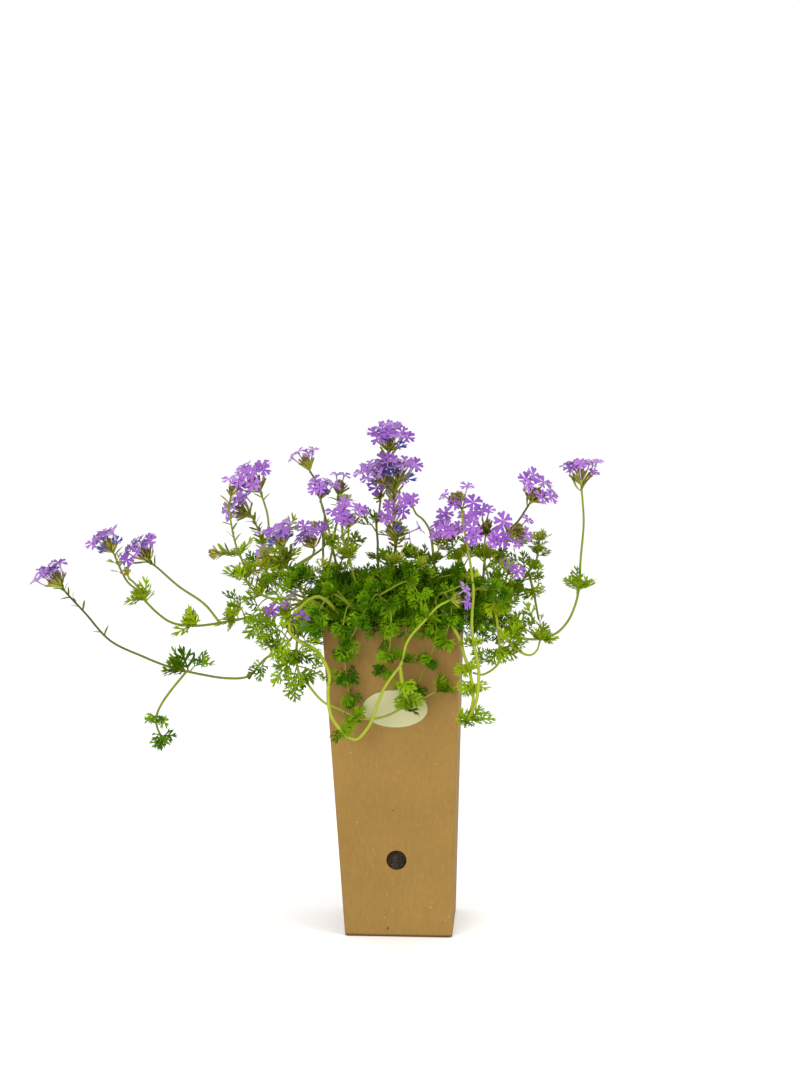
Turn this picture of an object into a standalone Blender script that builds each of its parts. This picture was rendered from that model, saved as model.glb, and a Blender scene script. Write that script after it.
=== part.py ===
"""A cut-leaved verbena in a tall, tapered pot of corrugated card.

Lengths are in millimetres until a mesh is made. The origin is the middle of the pot's foot,
on the surface it stands on: +X is right and -Y is towards the viewer. The pot is four pieces.
The plant is a node for each leafy stem, for each low spray and for the florets of each head.
Stems follow routes chosen by hand, which cross nothing. Leaves and florets are placed on them by
rule, each one turned, or left out, where it would cross another node.
"""
import math
import random
from collections import namedtuple

import bmesh
import bpy
from mathutils import Matrix, Vector
from mathutils.bvhtree import BVHTree

MM = 0.001

# Pot: a sleeve of folded board on a floor panel, filled with soil
BOARD = 1.6
FOOT_HALF = 40.0
RIM_HALF = 50.5
RIM_HEIGHT = 235.0
RIM_LEAN = -5.0
FOLD_RADIUS = 1.5
FOLD_STEPS = 2
GAP = 0.3
HOLE_RADIUS = 7.5
HOLE_HEIGHT = 59.0
HOLE_SIDES = 18
SOIL_TOP = RIM_HEIGHT - 9.0
LABEL_HALF_WIDTH = 24.0
LABEL_HALF_HEIGHT = 14.0
LABEL_THICKNESS = 0.4
LABEL_HEIGHT = 174.0
LABEL_SHIFT = -2.0
LABEL_SIDES = 28

# Plant
ROOT_DEPTH = 14.0
COLLAR = 3.0
STEM_RADIUS = 0.95
TIP_RADIUS = 0.7
SIDE_SHARE = 0.95
STEM_SIDES = 4
SHOOT_SIDES = 3
CURVE_STEP = 4.0
LONGEST_STRAIGHT = 20.0
SHARPEST_TURN = math.radians(14)
ROOT_HOLE_EXTRA = 1.0
ROOT_HOLE_SIDES = 4
CUTTER_EXTRA = 4.0
LEAF_LENGTH = 19.0
SPRAY_LEAF_LENGTH = 27.0
STEM_LEAF_SHARE = 0.46
SPRAY_LEAF_SHARE = 0.36
LEAF_THICKNESS = 0.9
LEAF_VARIES = (0.86, 1.08)
LEAF_LEAN = (38, 68)
LEAF_SPREAD = math.radians(75)
LEAF_SEAT = 0.05
PAIR_STEP = 2.6
PETAL_SPREAD = 7.0
PETAL_SHARE = 0.8
PETAL_RISE = 0.9
PETAL_THICKNESS = 0.75
TUBE_RADIUS = 1.5
CALYX_REACH = 11.0
CALYX_RADIUS = 1.2
CALYX_WIDEST = 0.7
HEART_RADIUS = 2.0
HEART_SINK = 2.0
CALYX_TILT = (26, 48)
CALYX_FOOT = (1.2, 0.7)
CORE_INNER = 12.4
CORE_OUTER = 14.8
CORE_SIDES = 5
CORE_TILT = math.radians(38)
FOOT_REACH = 13.0
FOOT_TILT = math.radians(29)
FLORET_REACH = 16.4
FLORET_TILT = math.radians(56)
GOLDEN_ANGLE = math.radians(137.508)
CLEARANCE = 0.35
TRIES = 14

# Where the viewer's eye is. A route's point (x, depth, z) is given as it is seen against the
# upright plane through the pot's middle, and slides along the line of sight to its depth.
VIEWER = Vector((97.7, -1597.0, 466.5))

Head = namedtuple("Head", "name facing florets calyxes share", defaults=(5, 5, 1.0))
Route = namedtuple("Route", "points leaves head", defaults=((), None))
Plant = namedtuple("Plant", "root crown routes")

# Each leafy stem: where it roots (x, y) and where it leaves the pot (x, y, z), then its main
# route and its side routes. `leaves` holds (place along the route, leaves there), the place
# counted in the route's own points.
STEMS = {
    "stem_far_left": Plant((-40, -8), (-48, -13, 241), [
        Route([(-60, -20, 243), (-77, -22, 226), (-90, -22, 211), (-104, -20, 202), (-116, -18, 189),
               (-133, -16, 187), (-154, -15, 190), (-176, -14, 195), (-197, -13, 203),
               (-222, -12, 215), (-241, -12, 236), (-254, -12, 250), (-258, -12, 255)],
              [(2.0, 2), (6.6, 6)], Head("bloom_far_left", (-0.52, -0.22, 0.83))),
        Route([(-164, -14, 192), (-176, -17, 177), (-182, -20, 167), (-185, -22, 157),
               (-185, -24, 146), (-182, -26, 136)], [(3.0, 2), (5.0, 3)]),
    ]),
    "stem_left_low": Plant((-42, 6), (-52, 8, 241), [
        Route([(-63, 10, 246), (-85, 10, 243), (-111, 8, 235), (-140, 6, 229), (-158, 4, 227),
               (-174, 3, 229), (-185, 2, 236), (-195, 0, 246), (-200, 0, 253), (-208, 0, 260),
               (-213, 0, 269), (-218, 0, 281)],
              [(2.0, 2), (3.1, 4), (4.9, 4), (7.2, 4)], Head("bloom_left_low", (-0.5, -0.25, 0.83))),
        Route([(-138, 8, 230), (-150, 12, 244), (-169, 16, 257), (-185, 18, 271), (-191, 18, 275)],
              [(1.0, 2)], Head("bloom_left_inner", (-0.5, -0.3, 0.8))),
        Route([(-195, 0, 246), (-201, -3, 257), (-207, -6, 263)], [], Head(None, (-0.3, -0.2, 0.9), 0, 5, 0.6)),
    ]),
    "stem_left_upright": Plant((-38, -20), (-46, -27, 240), [
        Route([(-77, -38, 247), (-101, -38, 249), (-116, -36, 259), (-119, -34, 273), (-124, -32, 285),
               (-127, -30, 296), (-130, -28, 315), (-129, -26, 324)],
              [(1.2, 2), (2.4, 4), (3.6, 2)], Head("bloom_pale", (0.2, -0.2, 0.95), 2, 5, 0.7)),
        Route([(-123, -32, 282), (-130, -33, 283), (-136, -34, 282)], [], Head(None, (-1.0, -0.1, 0.1), 0, 6, 0.7)),
    ]),
    "stem_left_high": Plant((-34, 0), (-45, 1, 242), [
        Route([(-66, -8, 251), (-88, -2, 266), (-98, 2, 289), (-101, 4, 311), (-103, 6, 319), (-106, 7, 328)],
              [(1.2, 4)], Head("bloom_left_high", (-0.42, -0.45, 0.8), 6)),
    ]),
    "stem_left_leaning": Plant((-37, 18), (-47, 24, 240), [
        Route([(-73, 19, 249), (-98, 21, 262), (-104, 23, 280), (-105, 25, 289), (-108, 25, 300),
               (-113, 25, 311)], [(0.9, 2), (2.0, 4), (3.0, 2)], Head("bloom_left_leaning", (-0.8, -0.3, 0.5), 4)),
    ]),
    "stem_back_tall": Plant((-26, 26), (-35, 27, 241), [
        Route([(-43, 28, 255), (-50, 30, 278), (-55, 32, 301), (-60, 34, 319), (-64, 34, 336), (-69, 34, 345)],
              [(0.6, 2)], Head("bloom_back_tall", (-0.35, -0.1, 0.9), 3, 5, 0.85)),
    ]),
    "stem_middle_pair": Plant((-27, 4), (-37, 1, 241), [
        Route([(-56, 4, 255), (-59, 2, 277), (-59, 0, 299), (-58, -1, 312), (-61, -2, 323)],
              [(0.5, 2)], Head("bloom_middle_left", (-0.1, -0.35, 0.9), 3, 5, 0.85)),
        Route([(-58, 3, 262), (-53, 12, 282), (-50, 16, 301), (-47, 18, 314), (-48, 19, 326)],
              [(1.5, 2)], Head("bloom_middle_dark", (0.2, 0.1, 1.0), 2, 6, 0.85)),
    ]),
    "stem_middle_front": Plant((-17, -8), (-22, -16, 241), [
        Route([(-31, -26, 250), (-37, -28, 269), (-40, -30, 284), (-40, -30, 301)],
              [(1.8, 4)], Head("bloom_middle_front", (0.0, -0.4, 0.9), 6)),
        Route([(-38, -28, 277), (-43, -16, 290), (-45, -12, 306), (-43, -10, 323)], [(3.0, 4)]),
    ]),
    "stem_left_cluster": Plant((-29, -13), (-39, -15, 244), [
        Route([(-69, -34, 247), (-81, -37, 263), (-88, -40, 277), (-89, -42, 286)],
              [(0.8, 2), (1.8, 2)], Head("bloom_cluster_left", (-0.2, -0.3, 0.92), 5)),
        Route([(-82, -37, 265), (-77, -34, 274), (-68, -29, 280), (-66, -28, 286)],
              [], Head("bloom_cluster_right", (-0.3, -0.4, 0.85), 3, 6, 0.85)),
        Route([(-70, -30, 281), (-63, -24, 284), (-58, -21, 289)], [], Head(None, (0.7, -0.2, 0.6), 0, 6, 0.7)),
    ]),
    "stem_centre": Plant((-9, 6), (-12, 6, 241), [
        Route([(-16, 6, 248), (-13, 7, 268), (-6, 8, 281), (-5, 8, 292), (-6, 8, 308), (-6, 8, 326),
               (-7, 8, 337), (-10, 8, 348), (-10, 8, 359)],
              [(1.4, 4), (3.2, 2)], Head("bloom_top", (0.05, -0.25, 0.95), 6)),
        Route([(-6, 8, 322), (-9, 3, 329), (-13, -1, 334)], [], Head("bloom_top_left", (-0.72, -0.25, 0.72), 4)),
        Route([(-7, 8, 325), (-5, 4, 331), (-3, 2, 335)], [], Head("bloom_top_right", (0.5, -0.35, 0.8), 4)),
        Route([(-5, 8, 284), (-4, -4, 290), (-4, -10, 295)], [], Head("bloom_fading", (0.1, -0.5, 0.85), 4)),
    ]),
    "stem_centre_left": Plant((-13, 18), (-15, 19, 241), [
        Route([(-15, 20, 255), (-18, 20, 278), (-18, 20, 291), (-19, 19, 306), (-17, 18, 314), (-16, 17, 323)],
              [(1.0, 2), (3.1, 3)], Head("bloom_centre_left", (-0.2, -0.8, 0.6), 3, 5, 0.7)),
    ]),
    "stem_centre_right": Plant((12, 1), (18, -3, 241), [
        Route([(26, -8, 252), (24, -12, 279), (22, -14, 297), (20, -15, 303), (16, -16, 309),
               (11, -17, 313), (8, -18, 319)], [(0.9, 4)], Head("bloom_centre_right", (-0.2, -0.85, 0.5), 3, 5, 0.75)),
    ]),
    "stem_right_trailing": Plant((22, -23), (26, -32, 243), [
        Route([(29, -54, 243), (43, -60, 220), (47, -62, 207), (52, -64, 191), (54, -65, 172),
               (49, -68, 155), (56, -72, 170), (58, -72, 185), (58, -71, 197), (55, -68, 212),
               (53, -64, 226), (53, -60, 239), (54, -54, 255), (52, -46, 273), (50, -38, 286),
               (47, -32, 301), (45, -28, 317)],
              [(2.4, 2), (3.3, 3), (5.0, 3), (9.0, 2)], Head("bloom_right_dark", (-0.05, -0.1, 1.0), 3, 6)),
    ]),
    "stem_right_cluster": Plant((24, -3), (32, -4, 242), [
        Route([(51, -10, 256), (44, -14, 280), (41, -15, 286), (38, -16, 288), (38, -16, 293)],
              [(1.0, 4)], Head("bloom_right_cluster", (0.0, -0.5, 0.85), 5)),
    ]),
    "stem_right_ring": Plant((30, -13), (39, -7, 241), [
        Route([(64, -19, 256), (62, -27, 279), (62, -31, 289), (63, -33, 298)],
              [(1.1, 2)], Head("bloom_right_ring", (0.1, -0.85, 0.52), 6)),
    ]),
    "stem_right_high": Plant((32, 5), (43, 3, 241), [
        Route([(59, -3, 249), (63, 1, 281), (73, 5, 292), (80, 7, 301), (87, 8, 308), (91, 8, 314), (96, 8, 322)],
              [(1.0, 4)], Head("bloom_right_high", (0.5, -0.45, 0.7))),
        Route([(62, -1, 272), (73, -9, 280), (78, -13, 290), (81, -15, 298)],
              [(0.8, 2)], Head("bloom_right_side", (0.8, -0.3, 0.35), 3, 6, 0.85)),
    ]),
    "stem_far_right": Plant((37, -4), (47, -9, 241), [
        Route([(59, -16, 245), (74, -20, 232), (85, -18, 222), (99, -14, 219), (112, -10, 222), (119, -8, 226),
               (126, -6, 235), (131, -4, 248), (133, -2, 260), (134, 0, 280), (136, 0, 306),
               (135, 0, 324), (134, 0, 334)],
              [(1.4, 4), (3.2, 4), (4.6, 2), (8.0, 4)], Head("bloom_far_right", (0.0, -0.15, 1.0), 5)),
    ]),
    "stem_right_leafy": Plant((34, 14), (41, 15, 241), [
        Route([(51, 16, 248), (70, 18, 242), (81, 20, 250), (95, 20, 270), (101, 18, 279), (103, 16, 293)],
              [(1.0, 2), (2.2, 4), (3.2, 4), (4.4, 4), (5.0, 3)]),
        Route([(96, 20, 270), (99, 22, 255), (103, 24, 234)], [(0.8, 2)]),
        Route([(70, 18, 242), (76, 0, 256), (79, -8, 267)], [(1.0, 2)], Head("bloom_right_small", (0.3, -0.5, 0.6), 1, 4, 0.6)),
    ]),
    "stem_right_low": Plant((37, -22), (46, -28, 241), [
        Route([(55, -36, 256), (67, -44, 253), (71, -46, 237), (73, -46, 221), (74, -46, 208), (72, -48, 199),
               (62, -54, 192), (54, -58, 193)], [(1.5, 4), (3.2, 4), (5.3, 4)]),
        Route([(74, -46, 228), (82, -44, 216), (90, -42, 209), (97, -40, 207), (102, -38, 211), (104, -36, 218)],
              [(1.0, 2), (5.0, 2)]),
    ]),
    "stem_front_loop": Plant((-34, -32), (-42, -39, 241), [
        Route([(-63, -50, 250), (-80, -56, 238), (-85, -60, 224), (-76, -64, 215), (-66, -66, 210),
               (-59, -68, 201), (-55, -70, 190), (-56, -72, 175), (-54, -74, 160), (-48, -75, 150),
               (-41, -76, 143), (-34, -76, 141), (-28, -76, 147), (-23, -76, 155), (-19, -76, 167),
               (-13, -76, 181), (-7, -76, 190), (0, -76, 200), (3, -76, 213), (8, -76, 222),
               (18, -76, 233), (27, -76, 243), (36, -75, 248)],
              [(9.0, 2), (17.0, 2), (20.0, 2)], Head("bloom_front", (0.95, -0.3, 0.1), 2, 5, 0.7)),
        Route([(-1, -76, 199), (0, -74, 187), (2, -73, 178), (6, -72, 169)], [(1.0, 2), (2.4, 2)]),
    ]),
    "stem_front_low": Plant((-41, -38), (-52, -41, 241), [
        Route([(-72, -49, 238), (-79, -53, 217), (-79, -55, 195), (-72, -57, 184), (-60, -59, 170),
               (-47, -61, 164), (-36, -62, 158), (-22, -63, 157), (-10, -63, 160), (1, -62, 166),
               (10, -61, 170), (27, -59, 179)],
              [(1.4, 4), (2.4, 4), (5.8, 3), (9.0, 3), (11.0, 3)]),
    ]),
    "stem_left_small": Plant((-44, -27), (-49, -35, 241), [
        Route([(-70, -42, 248), (-80, -52, 242), (-90, -58, 236), (-97, -62, 236)],
              [(1.4, 4)], Head("bloom_left_small", (-0.2, -0.8, 0.4), 2, 4, 0.6)),
    ]),
}

# The low sprays of the mound: several short shoots from one root, leafy all along
SPRAYS = {
    "spray_front_left": Plant((-22, -34), (-27, -44, 241), [
        Route([(-40, -56, 243), (-44, -62, 229), (-44, -62, 213), (-43, -60, 198), (-41, -58, 182),
               (-38, -56, 170)], [(1.0, 2), (2.2, 4), (3.4, 4), (4.6, 4)]),
        Route([(-34, -48, 246), (-52, -58, 252), (-62, -66, 240), (-66, -68, 228)], [(1.0, 4), (2.0, 4), (3.0, 3)]),
        Route([(-34, -46, 248), (-60, -40, 264), (-80, -44, 262)], [(0.8, 4), (1.5, 4), (2.0, 3)]),
    ]),
    "spray_front_middle": Plant((-6, -32), (-10, -42, 241), [
        Route([(-18, -56, 252), (-27, -66, 241), (-33, -68, 229), (-39, -66, 217)], [(0.5, 4), (1.5, 4), (3.0, 3)]),
        Route([(-14, -54, 256), (-9, -68, 243), (-8, -70, 229), (-9, -68, 212), (-13, -64, 197)],
              [(0.8, 4), (2.0, 3), (3.2, 2), (4.0, 3)]),
        Route([(-8, -52, 258), (4, -60, 262), (13, -68, 252), (17, -70, 240)], [(1.0, 4), (2.0, 4), (3.0, 3)]),
    ]),
    "spray_front_right": Plant((12, -36), (21, -42, 242), [
        Route([(30, -54, 254), (37, -60, 244), (36, -62, 232), (33, -62, 220)], [(0.6, 4), (1.6, 4), (3.0, 3)]),
        Route([(24, -56, 245), (26, -60, 229), (24, -60, 212), (17, -58, 196), (12, -56, 183)],
              [(1.0, 4), (2.4, 3), (4.0, 3)]),
        Route([(30, -46, 256), (56, -46, 262), (74, -50, 252)], [(0.8, 4), (1.5, 4), (2.0, 3)]),
    ]),
    "spray_back_left": Plant((-38, 32), (-49, 34, 241), [
        Route([(-60, 36, 262), (-80, 42, 256)], [(0.3, 4), (1.0, 4)]),
        Route([(-46, 50, 262), (-58, 66, 248), (-62, 74, 234)], [(0.6, 4), (1.4, 4), (2.0, 3)]),
        Route([(-42, 36, 268), (-44, 40, 280)], [(0.2, 4), (1.0, 4)]),
    ]),
    "spray_back": Plant((-3, 36), (-11, 44, 241), [
        Route([(-18, 53, 262), (-26, 69, 246), (-29, 75, 230)], [(0.6, 4), (1.4, 4), (2.0, 3)]),
        Route([(6, 53, 264), (12, 71, 248), (14, 77, 232)], [(0.6, 4), (1.4, 4), (2.0, 3)]),
        Route([(2, 37, 268), (4, 41, 281)], [(0.2, 4), (1.0, 4)]),
    ]),
    "spray_back_right": Plant((32, 30), (43, 33, 241), [
        Route([(60, 36, 262), (84, 42, 256)], [(0.3, 4), (1.0, 4)]),
        Route([(44, 52, 262), (54, 66, 246), (58, 74, 232)], [(0.6, 4), (1.4, 4), (2.0, 3)]),
        Route([(38, 32, 268), (42, 36, 280)], [(0.2, 4), (1.0, 4)]),
    ]),
    "spray_top": Plant((2, -14), (0, -18, 241), [
        Route([(-4, -22, 262), (-6, -28, 276)], [(0.2, 4), (1.0, 4)]),
        Route([(8, -26, 262), (14, -36, 272)], [(0.5, 4), (1.0, 4)]),
        Route([(6, -18, 262), (14, -8, 276)], [(0.5, 4), (1.0, 4)]),
        Route([(4, -20, 258), (40, -34, 268)], [(0.5, 4), (1.0, 4)]),
    ]),
}

# Colours, as red, green and blue between 0 and 1 in linear light
CARD = (0.43, 0.25, 0.075)
RAW_EDGE = (0.15, 0.075, 0.03)
PAPER = (0.61, 0.58, 0.33)
EARTH = (0.045, 0.028, 0.016)
LEAF_GREEN = (0.09, 0.20, 0.015)
VIOLET = (0.38, 0.12, 0.68)


class Shell:
    """One closed piece before it is fused: its corners, its triangles and its search tree."""

    def __init__(self, corners, faces):
        self.corners = [Vector(corner) for corner in corners]
        self.faces = faces
        self.low = Vector(min(c[i] for c in self.corners) for i in range(3))
        self.high = Vector(max(c[i] for c in self.corners) for i in range(3))
        self.tree = BVHTree.FromPolygons(self.corners, faces)

    def grown(self, amount):
        """The same piece with its skin moved outwards, to test it with room to spare."""
        pushes = [Vector() for _ in self.corners]
        for face in self.faces:
            a, b, c = (self.corners[i] for i in face)
            normal = (b - a).cross(c - a).normalized()
            for i in face:
                pushes[i] += normal
        return Shell([c + p.normalized() * amount for c, p in zip(self.corners, pushes)], self.faces)

    def meets(self, other):
        if any(self.low[i] > other.high[i] or other.low[i] > self.high[i] for i in range(3)):
            return False
        return bool(self.tree.overlap(other.tree))


class Plan:
    """Everything placed so far: for each node, the shells that will be fused into it."""

    def __init__(self):
        self.nodes = {}

    def crossed(self, node, shell):
        """The first other node that a shell would cross, or None."""
        test = shell.grown(CLEARANCE)
        for other, shells in self.nodes.items():
            if other != node and any(test.meets(piece) for piece in shells):
                return other
        return None

    def add(self, node, shell):
        self.nodes.setdefault(node, []).append(shell)


def seen(point):
    """The real place of a route's point: it slides along the line of sight to its depth."""
    x, depth, z = point
    flat = Vector((x, 0.0, z))
    return VIEWER + (flat - VIEWER) * ((depth - VIEWER.y) / -VIEWER.y)


def curve_at(points, place):
    """A point on the smooth (Catmull-Rom) curve through the points, at a place from 0 up."""
    last = len(points) - 1
    i = min(max(int(place), 0), last - 1)
    t = min(max(place - i, 0.0), 1.0)
    before = points[i - 1] if i > 0 else points[0] * 2 - points[1]
    after = points[i + 2] if i + 2 <= last else points[last] * 2 - points[last - 1]
    a, b = points[i], points[i + 1]
    return 0.5 * (2 * a + (b - before) * t + (2 * before - 5 * a + 4 * b - after) * t * t
                  + (3 * a - before - 3 * b + after) * t ** 3)


def tangent_at(points, place):
    return (curve_at(points, place + 0.05) - curve_at(points, place - 0.05)).normalized()


def sampled(points):
    """A line along the smooth curve, with a corner only where it has turned or run far enough."""
    fine = [points[0].copy()]
    for i in range(len(points) - 1):
        steps = max(1, round((points[i + 1] - points[i]).length / CURVE_STEP))
        fine += [curve_at(points, i + k / steps) for k in range(1, steps + 1)]
    line = [fine[0]]
    heading = fine[1] - fine[0]
    for here, after in zip(fine[1:], fine[2:]):
        turned = heading.angle(after - here)
        if turned > SHARPEST_TURN or (after - line[-1]).length > LONGEST_STRAIGHT:
            line.append(here)
            heading = after - here
    return line + [fine[-1]]


def on_line(line, point):
    """The nearest place to a point on a line of straight pieces."""
    best = line[0]
    for a, b in zip(line, line[1:]):
        share = min(max((point - a).dot(b - a) / (b - a).length_squared, 0.0), 1.0)
        spot = a.lerp(b, share)
        if (spot - point).length < (best - point).length:
            best = spot
    return best


def across(direction):
    """Any unit vector square to a direction."""
    helper = Vector((0, 0, 1)) if abs(direction.z) < 0.8 else Vector((0, 1, 0))
    return direction.cross(helper).normalized()


def tube(line, radius, tip_radius, sides):
    """A few-sided stem along a line, a little thinner at its tip, with both ends closed."""
    corners, faces = [], []
    side = across(line[1] - line[0])
    for i, point in enumerate(line):
        along = (line[min(i + 1, len(line) - 1)] - line[max(i - 1, 0)]).normalized()
        side = (side - along * side.dot(along)).normalized()
        other = along.cross(side)
        here = radius + (tip_radius - radius) * i / (len(line) - 1)
        for k in range(sides):
            turn = 2 * math.pi * k / sides
            corners.append(point + (side * math.cos(turn) + other * math.sin(turn)) * here)
    for i in range(len(line) - 1):
        for k in range(sides):
            a = i * sides + k
            b = i * sides + (k + 1) % sides
            faces += [(a, b, b + sides), (a, b + sides, a + sides)]
    top = (len(line) - 1) * sides
    for k in range(1, sides - 1):
        faces += [(0, k + 1, k), (top, top + k, top + k + 1)]
    return Shell(corners, faces)


# A leaf's outline down its right side, as (share of its length, share of its length sideways):
# two narrow lobes with cuts nearly to the rib. The foot and the end lobe lie on its middle line
LEAF_SIDE = [(0.56, 0.40), (0.40, 0.06), (0.88, 0.28), (0.66, 0.055)]
LEAF_RIB = [0.30, 0.64]
LEAF_DROOP = 0.22
LOBE_LIFT = 0.25


def leaf(root, along, facing, length):
    """A cut leaf: a thin blade with a sharp edge, thickest on its rib, drooping to its tip."""
    along = along.normalized()
    up = (facing - along * facing.dot(along)).normalized()
    side = along.cross(up)

    def place(u, v, lift):
        droop = -LEAF_DROOP * u * u + LOBE_LIFT * abs(v)
        return root + (along * u + side * v + up * droop) * length + up * lift

    right = [place(u, v, 0.0) for u, v in LEAF_SIDE]
    left = [place(u, -v, 0.0) for u, v in LEAF_SIDE]
    outline = [place(0.0, 0.0, 0.0)] + right + [place(1.0, 0.0, 0.0)] + left[::-1]
    count = len(outline)
    ribs = [place(u, 0.0, s * LEAF_THICKNESS / 2) for s in (1, -1) for u in LEAF_RIB]
    # On either face the outline is fanned to two rib points: the lower one as far as the
    # first cut, the upper one beyond it
    cut = 2
    faces = []
    for low, high, flip in ((count, count + 1, False), (count + 2, count + 3, True)):
        fan = []
        for i in range(count):
            near_foot = i < cut or i >= count - cut
            fan.append((i, (i + 1) % count, low if near_foot else high))
        fan += [(cut, high, low), (count - cut, low, high)]
        faces += [tri[::-1] for tri in fan] if flip else fan
    return Shell(outline + ribs, faces)


def floret(centre, facing, foot, spread, turn):
    """A five-petalled floret: wedge petals from a throat, and a tube down to its foot."""
    facing = facing.normalized()
    side = across(facing)
    other = facing.cross(side)

    def place(angle, radius, lift):
        return centre + (side * math.cos(angle) + other * math.sin(angle)) * radius + facing * lift

    fifth = 2 * math.pi / 5
    half = PETAL_SHARE * fifth / 2
    throat = TUBE_RADIUS * spread / PETAL_SPREAD
    upper = [place(turn + fifth * k, throat, 0.0) for k in range(5)]
    lower = [place(turn + fifth * k, throat, -PETAL_THICKNESS) for k in range(5)]
    tips = []
    for k in range(5):
        middle = turn + fifth * (k + 0.5)
        tips += [place(middle - half, spread, PETAL_RISE), place(middle + half, spread, PETAL_RISE)]
    corners = upper + lower + tips + [foot]
    bottom = len(corners) - 1
    faces = [(0, 1, 2), (0, 2, 3), (0, 3, 4)]
    for k in range(5):
        n = (k + 1) % 5
        tip_a, tip_b = 10 + 2 * k, 11 + 2 * k
        faces += [(k, tip_a, tip_b), (k, tip_b, n),
                  (k + 5, tip_b, tip_a), (k + 5, n + 5, tip_b),
                  (k, k + 5, tip_a), (n, tip_b, n + 5), (n + 5, k + 5, bottom)]
    return Shell(corners, faces)


def calyx(foot, tip, radius):
    """A slender green cup, pointed at both ends and widest near its mouth."""
    along = (tip - foot).normalized()
    side = across(along)
    other = along.cross(side)
    turns = (0.0, 2 * math.pi / 3, 4 * math.pi / 3)
    middle = foot.lerp(tip, CALYX_WIDEST)
    ring = [middle + (side * math.cos(turn) + other * math.sin(turn)) * radius for turn in turns]
    return Shell([foot] + ring + [tip], [(0, 2, 1), (0, 3, 2), (0, 1, 3), (4, 1, 2), (4, 2, 3), (4, 3, 1)])


def polar(axis, tilt, turn):
    """The direction that leans `tilt` from an axis, at a turn around it."""
    side = across(axis)
    other = axis.cross(side)
    return (axis * math.cos(tilt) + (side * math.cos(turn) + other * math.sin(turn)) * math.sin(tilt)).normalized()


def core(base, axis, share):
    """The cap that a head's floret tubes rise from: it sits just off the calyx tips."""
    corners = [base + axis * CORE_INNER * share, base + axis * CORE_OUTER * share]
    for reach in (CORE_INNER, CORE_OUTER):
        for k in range(CORE_SIDES):
            corners.append(base + polar(axis, CORE_TILT, 2 * math.pi * k / CORE_SIDES) * reach * share)
    faces = []
    for k in range(CORE_SIDES):
        inner, inner_next = 2 + k, 2 + (k + 1) % CORE_SIDES
        outer, outer_next = inner + CORE_SIDES, inner_next + CORE_SIDES
        faces += [(0, inner_next, inner), (1, outer, outer_next),
                  (inner, inner_next, outer_next), (inner, outer_next, outer)]
    return Shell(corners, faces)


def head_greens(base, axis, head):
    """The calyxes of a head: one in the middle, which the others fan out from."""
    top = base + axis * (CORE_INNER * head.share - GAP)
    shells = [calyx(base - axis * HEART_SINK, top, HEART_RADIUS)]
    inner, outer = CALYX_TILT
    rise, out = CALYX_FOOT
    for i in range(head.calyxes - 1):
        tilt = math.radians(inner + (outer - inner) * i / (head.calyxes - 2))
        direction = polar(axis, tilt, i * GOLDEN_ANGLE)
        sideways = (direction - axis * direction.dot(axis)).normalized()
        foot = base + axis * rise + sideways * out
        shells.append(calyx(foot, base + direction * CALYX_REACH * head.share, CALYX_RADIUS))
    return shells


def floret_places(base, axis, head):
    """Where a head's florets go: spread over a dome by the golden angle."""
    places = []
    for i in range(head.florets):
        tilt = FLORET_TILT * math.sqrt((i + 0.35) / head.florets)
        facing = polar(axis, tilt, i * GOLDEN_ANGLE + 0.7)
        foot = base + polar(axis, min(tilt, FOOT_TILT), i * GOLDEN_ANGLE + 0.7) * FOOT_REACH * head.share
        places.append((base + facing * FLORET_REACH * head.share, facing, foot))
    return places


def route_points(plant, route, main):
    """A route's real points: a main route starts at its root, a side one on the main stem."""
    points = [seen(point) for point in route.points]
    if main is not None:
        return [on_line(sampled(main), points[0])] + points[1:]
    heights = (SOIL_TOP - ROOT_DEPTH + GAP, SOIL_TOP - COLLAR, SOIL_TOP + COLLAR)
    return [Vector((*plant.root, z)) for z in heights] + [Vector(plant.crown)] + points


ROOT_POINTS = 4


def plan_stem(plan, node, plant):
    """Lay out a node's stems, its calyxes and its heads' caps, and say what they cross."""
    main = route_points(plant, plant.routes[0], None)
    laid = [main] + [route_points(plant, route, main) for route in plant.routes[1:]]
    shells = []
    for order, (points, route) in enumerate(zip(laid, plant.routes)):
        thin = 1.0 if order == 0 else SIDE_SHARE
        sides = STEM_SIDES if order == 0 and node in STEMS else SHOOT_SIDES
        shells.append((node, tube(sampled(points), STEM_RADIUS * thin, TIP_RADIUS * thin, sides)))
        if route.head:
            axis = Vector(route.head.facing).normalized()
            shells += [(node, green) for green in head_greens(points[-1], axis, route.head)]
            if route.head.name:
                shells.append((route.head.name, core(points[-1], axis, route.head.share)))
    crossed = {plan.crossed(owner, shell) for owner, shell in shells} - {None}
    if crossed:
        print(f"{node} crosses {crossed}")
    for owner, shell in shells:
        plan.add(owner, shell)
    return laid


def dice(*names):
    """Random numbers that depend only on what they are for, so one piece never shifts another."""
    return random.Random(" ".join(str(name) for name in names))


def place_free(plan, node, own, tries):
    """Add the first of some candidate shells that crosses nothing.

    `own` holds the node's pieces of the same kind. A candidate that crosses only those is the
    second choice, and it is used when none is wholly free.
    """
    spare = None
    for shell in tries:
        if plan.crossed(node, shell):
            continue
        if not any(shell.meets(piece) for piece in own):
            spare = shell
            break
        spare = spare or shell
    if spare is None:
        return False
    plan.add(node, spare)
    own.append(spare)
    return True


def floret_tries(centre, facing, foot, share, rng):
    """Candidates for a floret: the first as planned, the others tipped, raised and smaller."""
    turn = rng.uniform(0, 2 * math.pi)
    spread = PETAL_SPREAD * (0.7 + 0.3 * share)
    for attempt in range(TRIES):
        aim = facing + Vector(rng.uniform(-0.03, 0.03) * attempt for _ in range(3))
        rise = facing * rng.uniform(-0.05, 0.12) * attempt
        yield floret(centre + rise, aim, foot, spread * (1.0 - 0.012 * attempt), turn + attempt)


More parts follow.
